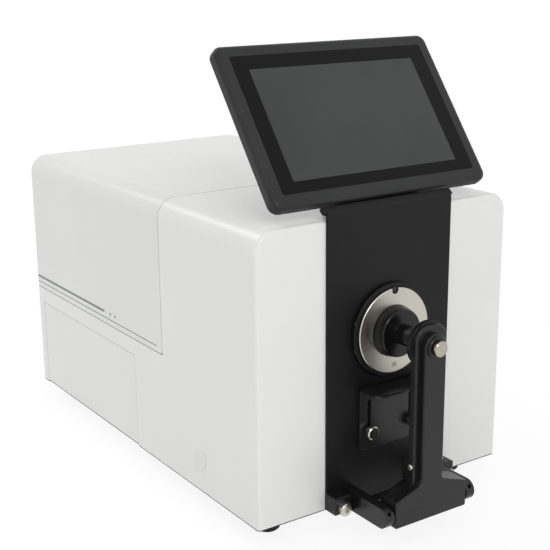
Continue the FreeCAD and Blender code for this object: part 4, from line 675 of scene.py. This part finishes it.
thumb_radius, thumb_band, thumb_set_back = 0.00522, 0.0028, 0.00215
for hand in ("left", "right"):
    thumb_low, thumb_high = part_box("shelf_thumbscrew_" + hand)
    thumb_place = ((thumb_low.x + thumb_high.x) / 2, thumb_low.y + thumb_set_back,
                   (thumb_low.z + thumb_high.z) / 2)
    knurled_band("thumbscrew_knurl_" + hand, thumb_radius, thumb_band, thumb_place, "thumbscrew_" + hand)


# Hinge brackets and sample arm: milled light alloy, black anodised, with softly broken edges.
# Knurled screws hold the brackets, pins and set screws carry the arm, small pan screws its plate.
dress(grained("black_anodised", (0.0058, 0.0060, 0.0068), (0.0095, 0.0098, 0.0110), 60, (0.24, 0.34), 2200,
              0.00002, 0.3, 0.38, 0.0, 0.0005),
      "hinge_bracket_left", "hinge_bracket_right", "arm_base", "arm_plate")
dress(bright_steel, "bracket_screws", "arm_pivot_pins")
knob_low, knob_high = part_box("bracket_screws")
knob_radius = (knob_high.z - knob_low.z) / 2
knob_band, knob_set_back, knob_proud, knob_wall, bore_length = 0.0036, 0.0027, 0.00003, 0.0004, 0.01
for hand, knob_x in (("left", knob_low.x + knob_radius), ("right", knob_high.x - knob_radius)):
    knob_place = (knob_x, knob_low.y + knob_set_back, (knob_low.z + knob_high.z) / 2)
    knob_knurl = knurled_band("bracket_screw_knurl_" + hand, knob_radius + knob_proud, knob_band, knob_place,
                              "housing")
    deselect()
    bpy.ops.mesh.primitive_cylinder_add(vertices=72, radius=knob_radius - knob_wall, depth=bore_length,
                                        rotation=(math.pi / 2, 0, 0), location=knob_place)
    carve(knob_knurl, applied(bpy.context.object))
dress(grained("socket_black", (0.0015, 0.0015, 0.0015), (0.0030, 0.0030, 0.0030), 900, (0.5, 0.65), 2600,
              0.00001, 0.3, 0.08), "pivot_set_screws")
arm_low, arm_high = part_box("arm_screws")
arm_screw_radius, arm_screw_height = 0.0024, 0.0014
arm_screw_y, arm_screw_z = (arm_low.y + arm_high.y) / 2, (arm_low.z + arm_high.z) / 2
for hand, node, side, seat_x in (("left", "arm_screws", -1, arm_low.x + arm_screw_height),
                                 ("right", None, 1, arm_high.x - arm_screw_height)):
    pan_screws("arm_screw_head_" + hand, node, arm_screw_radius, arm_screw_height,
               [(seat_x, arm_screw_y, arm_screw_z)], (side, 0, 0), "sample_arm")


# Plunger: a black pressing pad on a hub that slides in the arm, and a polished rod with its knob.
# The pad is moulded in tough plastic, the rod turned and nickel-plated. A coil spring of drawn wire
# sits between them and the arm. On the real thing it shortens as the pad is pulled back; this coil is rigid
# and rides with the arm.
dress(grained("pad_plastic", (0.0035, 0.0035, 0.0038), (0.0060, 0.0060, 0.0064), 80, (0.16, 0.26), 1500,
              0.00002, 0.3, 0.32, 0.0, 0.0005), "plunger_pad")
dress(bright("polished_nickel", (0.40, 0.372, 0.305), (0.49, 0.458, 0.385), (0.12, 0.22)), "plunger_rod")
spring_low, spring_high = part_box("plunger_spring")
wire_radius, coils, coil_play = 0.00046, 9, 0.00003
spring_length = spring_high.y - spring_low.y
coil_radius = (spring_high.x - spring_low.x) / 2 - wire_radius - coil_play
deselect()
bpy.ops.mesh.primitive_circle_add(vertices=10, radius=wire_radius, location=(coil_radius, 0, wire_radius),
                                  rotation=(math.pi / 2, 0, 0))
spring = applied(bpy.context.object)
spring.name = "plunger_coil"
winding = spring.modifiers.new("winding", "SCREW")
winding.axis = "Z"
winding.screw_offset = (spring_length - 2 * wire_radius) / coils
winding.iterations = coils
winding.steps = winding.render_steps = 28
bpy.ops.object.modifier_apply(modifier=winding.name)
bpy.ops.object.mode_set(mode="EDIT")
bpy.ops.mesh.select_all(action="SELECT")
bpy.ops.mesh.fill_holes(sides=0)
bpy.ops.mesh.select_all(action="SELECT")
bpy.ops.mesh.normals_make_consistent(inside=False)
bpy.ops.object.mode_set(mode="OBJECT")
spring.rotation_euler = (-math.pi / 2, 0, 0)
spring.location = (0, spring_low.y, port_z)
applied(spring)
bpy.ops.object.shade_smooth_by_angle(angle=math.radians(60))
give_finish(spring, bright_steel)
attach(spring, "sample_arm")
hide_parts("plunger_spring")
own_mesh(spring)


# Touch screen: dark satin bezel and back, clipped together round a bonded cover glass.
# The glass is black at its border and a little lighter over the unlit display.
dress(grained("bezel_plastic", (0.0135, 0.014, 0.015), (0.0185, 0.019, 0.020), 25, (0.38, 0.5), 1900,
              0.00004, 0.6, 0.30), "tablet_bezel", "tablet_back_cover")
glass_low, glass_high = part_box("touch_glass")
screen_tilt = math.radians(37)
glass_middle = (glass_low + glass_high) / 2
glass_finish, glass_tree, glass_shader, glass_place = new_finish("cover_glass")
upright = glass_tree.nodes.new("ShaderNodeMapping")
upright.vector_type = "TEXTURE"
upright.inputs["Location"].default_value = glass_middle
upright.inputs["Rotation"].default_value = (-screen_tilt, 0, 0)
glass_tree.links.new(glass_place, upright.inputs["Vector"])
display_left, display_right, display_bottom, display_top = -0.0778, 0.0764, -0.0478, 0.0452
glass_x, glass_z = (axis_value(glass_tree, upright.outputs["Vector"], axis) for axis in "XZ")
display_area = math_node(glass_tree, "MULTIPLY", within(glass_tree, glass_x, display_left, display_right),
                         within(glass_tree, glass_z, display_bottom, display_top))
haze = between(glass_tree, noise(glass_tree, glass_place, 11, 3), 0, 1)
display_grey = blended(glass_tree, haze, (0.052, 0.0545, 0.0535), (0.066, 0.0695, 0.0695))
glass_tree.links.new(blended(glass_tree, display_area, (0.0035, 0.0035, 0.004), display_grey),
                     glass_shader.inputs["Base Color"])
glass_tree.links.new(between(glass_tree, noise(glass_tree, glass_place, 45, 5), 0.05, 0.12),
                     glass_shader.inputs["Roughness"])
glass_shader.inputs["Specular IOR Level"].default_value = 0.12
dress(glass_finish, "touch_glass")
dress(grained("display_film", (0.05, 0.052, 0.051), (0.065, 0.067, 0.066), 20, (0.3, 0.4), 1200, 0.00002),
      "display_panel")


# Screen bracket: a black-coated steel foot plate screwed to the top of the housing, with two solid ears that
# hold the tilt pin, and a hinge leaf screwed to the back of the screen. Friction in the pin holds the angle.
dress(black_coat, "screen_bracket", "tilt_leaf")
dress(bright_steel, "tilt_pin")
screen_up = Vector((0, math.sin(screen_tilt), math.cos(screen_tilt)))
screen_back = Vector((0, math.cos(screen_tilt), -math.sin(screen_tilt)))
leaf_points = [point.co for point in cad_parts["tilt_leaf"].data.vertices]
leaf_top = max(point.dot(screen_up) for point in leaf_points)
leaf_edge = [point for point in leaf_points if point.dot(screen_up) > leaf_top - 0.004]
leaf_face = max(point.dot(screen_back) for point in leaf_edge)
leaf_half = max(point.x for point in leaf_edge)
leaf_inset, leaf_screw_drops, leaf_screw_radius, leaf_screw_height = 0.006, (0.006, 0.020), 0.0025, 0.0010
leaf_screws = [Vector((x, 0, 0)) + screen_up * (leaf_top - drop) + screen_back * leaf_face
               for x in (-leaf_half + leaf_inset, leaf_half - leaf_inset) for drop in leaf_screw_drops]
pan_screws("tilt_leaf_screws", None, leaf_screw_radius, leaf_screw_height, leaf_screws, screen_back, "screen")
case_points = [point.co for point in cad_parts["tablet_back_cover"].data.vertices]
case_face = max(point.dot(screen_back) for point in case_points)
case_top = max(point.dot(screen_up) for point in case_points)
case_bottom = min(point.dot(screen_up) for point in case_points)
case_half = max(point.x for point in case_points)
case_inset, case_screw_radius, case_screw_height = 0.013, 0.0022, 0.0006
case_places = [Vector((x, 0, 0)) + screen_up * rise + screen_back * case_face
               for x in (-case_half + case_inset, case_half - case_inset)
               for rise in (case_bottom + case_inset, case_top - case_inset)]
case_screws = spread_copies("screen_case_screws", pan_head(case_screw_radius, case_screw_height), case_places,
                            screen_back)
give_finish(case_screws, blackened_steel)
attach(case_screws, "screen")
bracket_low, bracket_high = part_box("screen_bracket_screws")
bracket_radius, bracket_height = 0.0034, 0.0012
bracket_places = [(x, y, bracket_high.z - bracket_height)
                  for x in (bracket_low.x + bracket_radius, bracket_high.x - bracket_radius)
                  for y in (bracket_low.y + bracket_radius, bracket_high.y - bracket_radius)]
pan_screws("bracket_screw_heads", "screen_bracket_screws", bracket_radius, bracket_height, bracket_places,
           (0, 0, 1), "housing")


# Stage: a plain white floor under a plain soft studio light. The floor keeps the soft shadow at the feet,
# carries a painted shadow, near black in its colour, under the clamp where the body shades it, and fades into
# the white ground behind.
def seen_straight(tree):
    """1 for what is seen, straight or in metal and glass, and 0 for the light that falls on things."""
    path = tree.nodes.new("ShaderNodeLightPath")
    mirror = math_node(tree, "MAXIMUM", path.outputs["Is Glossy Ray"], path.outputs["Is Transmission Ray"])
    return math_node(tree, "MAXIMUM", path.outputs["Is Camera Ray"], mirror)


def eased(tree, value, start, end, low, high):
    """Number that goes smoothly from low to high while a value goes from start to end."""
    node = tree.nodes.new("ShaderNodeMapRange")
    node.interpolation_type = "SMOOTHSTEP"
    for name, number in (("From Min", start), ("From Max", end), ("To Min", low), ("To Max", high)):
        node.inputs[name].default_value = number
    tree.links.new(value, node.inputs["Value"])
    return node.outputs["Result"]


deselect()
bpy.ops.mesh.primitive_plane_add(size=30, location=(0, 0, 0))
floor = bpy.context.object
floor.name = "floor"
floor_finish, floor_tree, floor_shader, floor_place = new_finish("pale_floor")
floor_shader.inputs["Roughness"].default_value = 0.9
floor_shader.inputs["Specular IOR Level"].default_value = 0.0
glow = floor_tree.nodes.new("ShaderNodeEmission")
glow.inputs["Color"].default_value = (1, 1, 1, 1)
glow.inputs["Strength"].default_value = 1.03
surface = floor_tree.nodes.new("ShaderNodeMixShader")
# Painted shadow: inside a small pool under the clamp, the floor's colour is painted near black and its glow
# is turned off.
painted_shadow_centre, painted_shadow_core, painted_shadow_edge = (0.016, front_y + 0.046, 0), 0.030, 0.046
fade_start, fade_end, near_glow, far_glow = 0.6, 1.6, 0.84, 1.0
pool = floor_tree.nodes.new("ShaderNodeVectorMath")
pool.operation = "DISTANCE"
pool.inputs[1].default_value = painted_shadow_centre
floor_tree.links.new(floor_place, pool.inputs[0])
outside_painted_shadow = eased(floor_tree, pool.outputs["Value"], painted_shadow_core, painted_shadow_edge, 0, 1)
floor_tree.links.new(blended(floor_tree, outside_painted_shadow, (0.03, 0.03, 0.03), (0.96, 0.96, 0.96)),
                     floor_shader.inputs["Base Color"])
fade = eased(floor_tree, pool.outputs["Value"], fade_start, fade_end, near_glow, far_glow)
open_glow = math_node(floor_tree, "MULTIPLY", outside_painted_shadow, fade)
floor_tree.links.new(math_node(floor_tree, "MULTIPLY", seen_straight(floor_tree), open_glow),
                     surface.inputs["Fac"])
floor_tree.links.new(floor_shader.outputs["BSDF"], surface.inputs[1])
floor_tree.links.new(glow.outputs["Emission"], surface.inputs[2])
floor_tree.links.new(surface.outputs["Shader"], floor_tree.nodes["Material Output"].inputs["Surface"])
floor.data.materials.append(floor_finish)

studio = bpy.data.worlds.new("studio")
studio.use_nodes = True
bpy.context.scene.world = studio
studio_tree = studio.node_tree
ground = studio_tree.nodes["Background"]
ground.inputs["Color"].default_value = (1, 1, 1, 1)
ambient = 0.66
ground_level = math_node(studio_tree, "MULTIPLY_ADD", seen_straight(studio_tree), 1 - ambient, ambient)
studio_tree.links.new(ground_level, ground.inputs["Strength"])


def soft_box(name, place, aim, size, power):
    light = bpy.data.lights.new(name, "AREA")
    light.size = size
    light.energy = power
    lamp = bpy.data.objects.new(name, light)
    lamp.location = place
    lamp.rotation_euler = (Vector(aim) - Vector(place)).to_track_quat("-Z", "Y").to_euler()
    bpy.context.scene.collection.objects.link(lamp)


soft_box("key_light", (-0.45, -2.2, 1.35), (0, 0, 0.15), 1.2, 12.5)
soft_box("spark_light", (-0.95, -1.75, 1.45), (0, -0.1, 0.15), 0.3, 3.0)
soft_box("top_light", (-0.75, 1.35, 1.75), (0, 0, 0.2), 1.2, 11.5)
soft_box("fill_light", (1.3, -1.9, 0.5), (0, 0, 0.1), 1.4, 1.5)


# Camera: the place, turn and lens that put the model's edges on the photograph's.
# They were fitted to the corners of the body, in pixels of a picture 550 wide.
camera = bpy.data.objects.new("camera", bpy.data.cameras.new("camera"))
bpy.context.scene.collection.objects.link(camera)
camera_place, focal_pixels, picture_pixels = (-0.53330, -0.80572, 0.42564), 1137.37, 550
yaw, pitch, roll = math.radians(34.097), math.radians(15.609), math.radians(0.532)
forward = Vector((math.sin(yaw) * math.cos(pitch), math.cos(yaw) * math.cos(pitch), -math.sin(pitch)))
level = Vector((math.cos(yaw), -math.sin(yaw), 0))
down = forward.cross(level)
right = level * math.cos(roll) + down * math.sin(roll)
up = level * math.sin(roll) - down * math.cos(roll)
camera_turn = Matrix((right, up, -forward)).transposed().to_4x4()
camera.matrix_world = Matrix.Translation(camera_place) @ camera_turn
camera.data.sensor_width = 36
camera.data.lens = camera.data.sensor_width * focal_pixels / picture_pixels
camera.data.clip_start = 0.05
bpy.context.scene.camera = camera
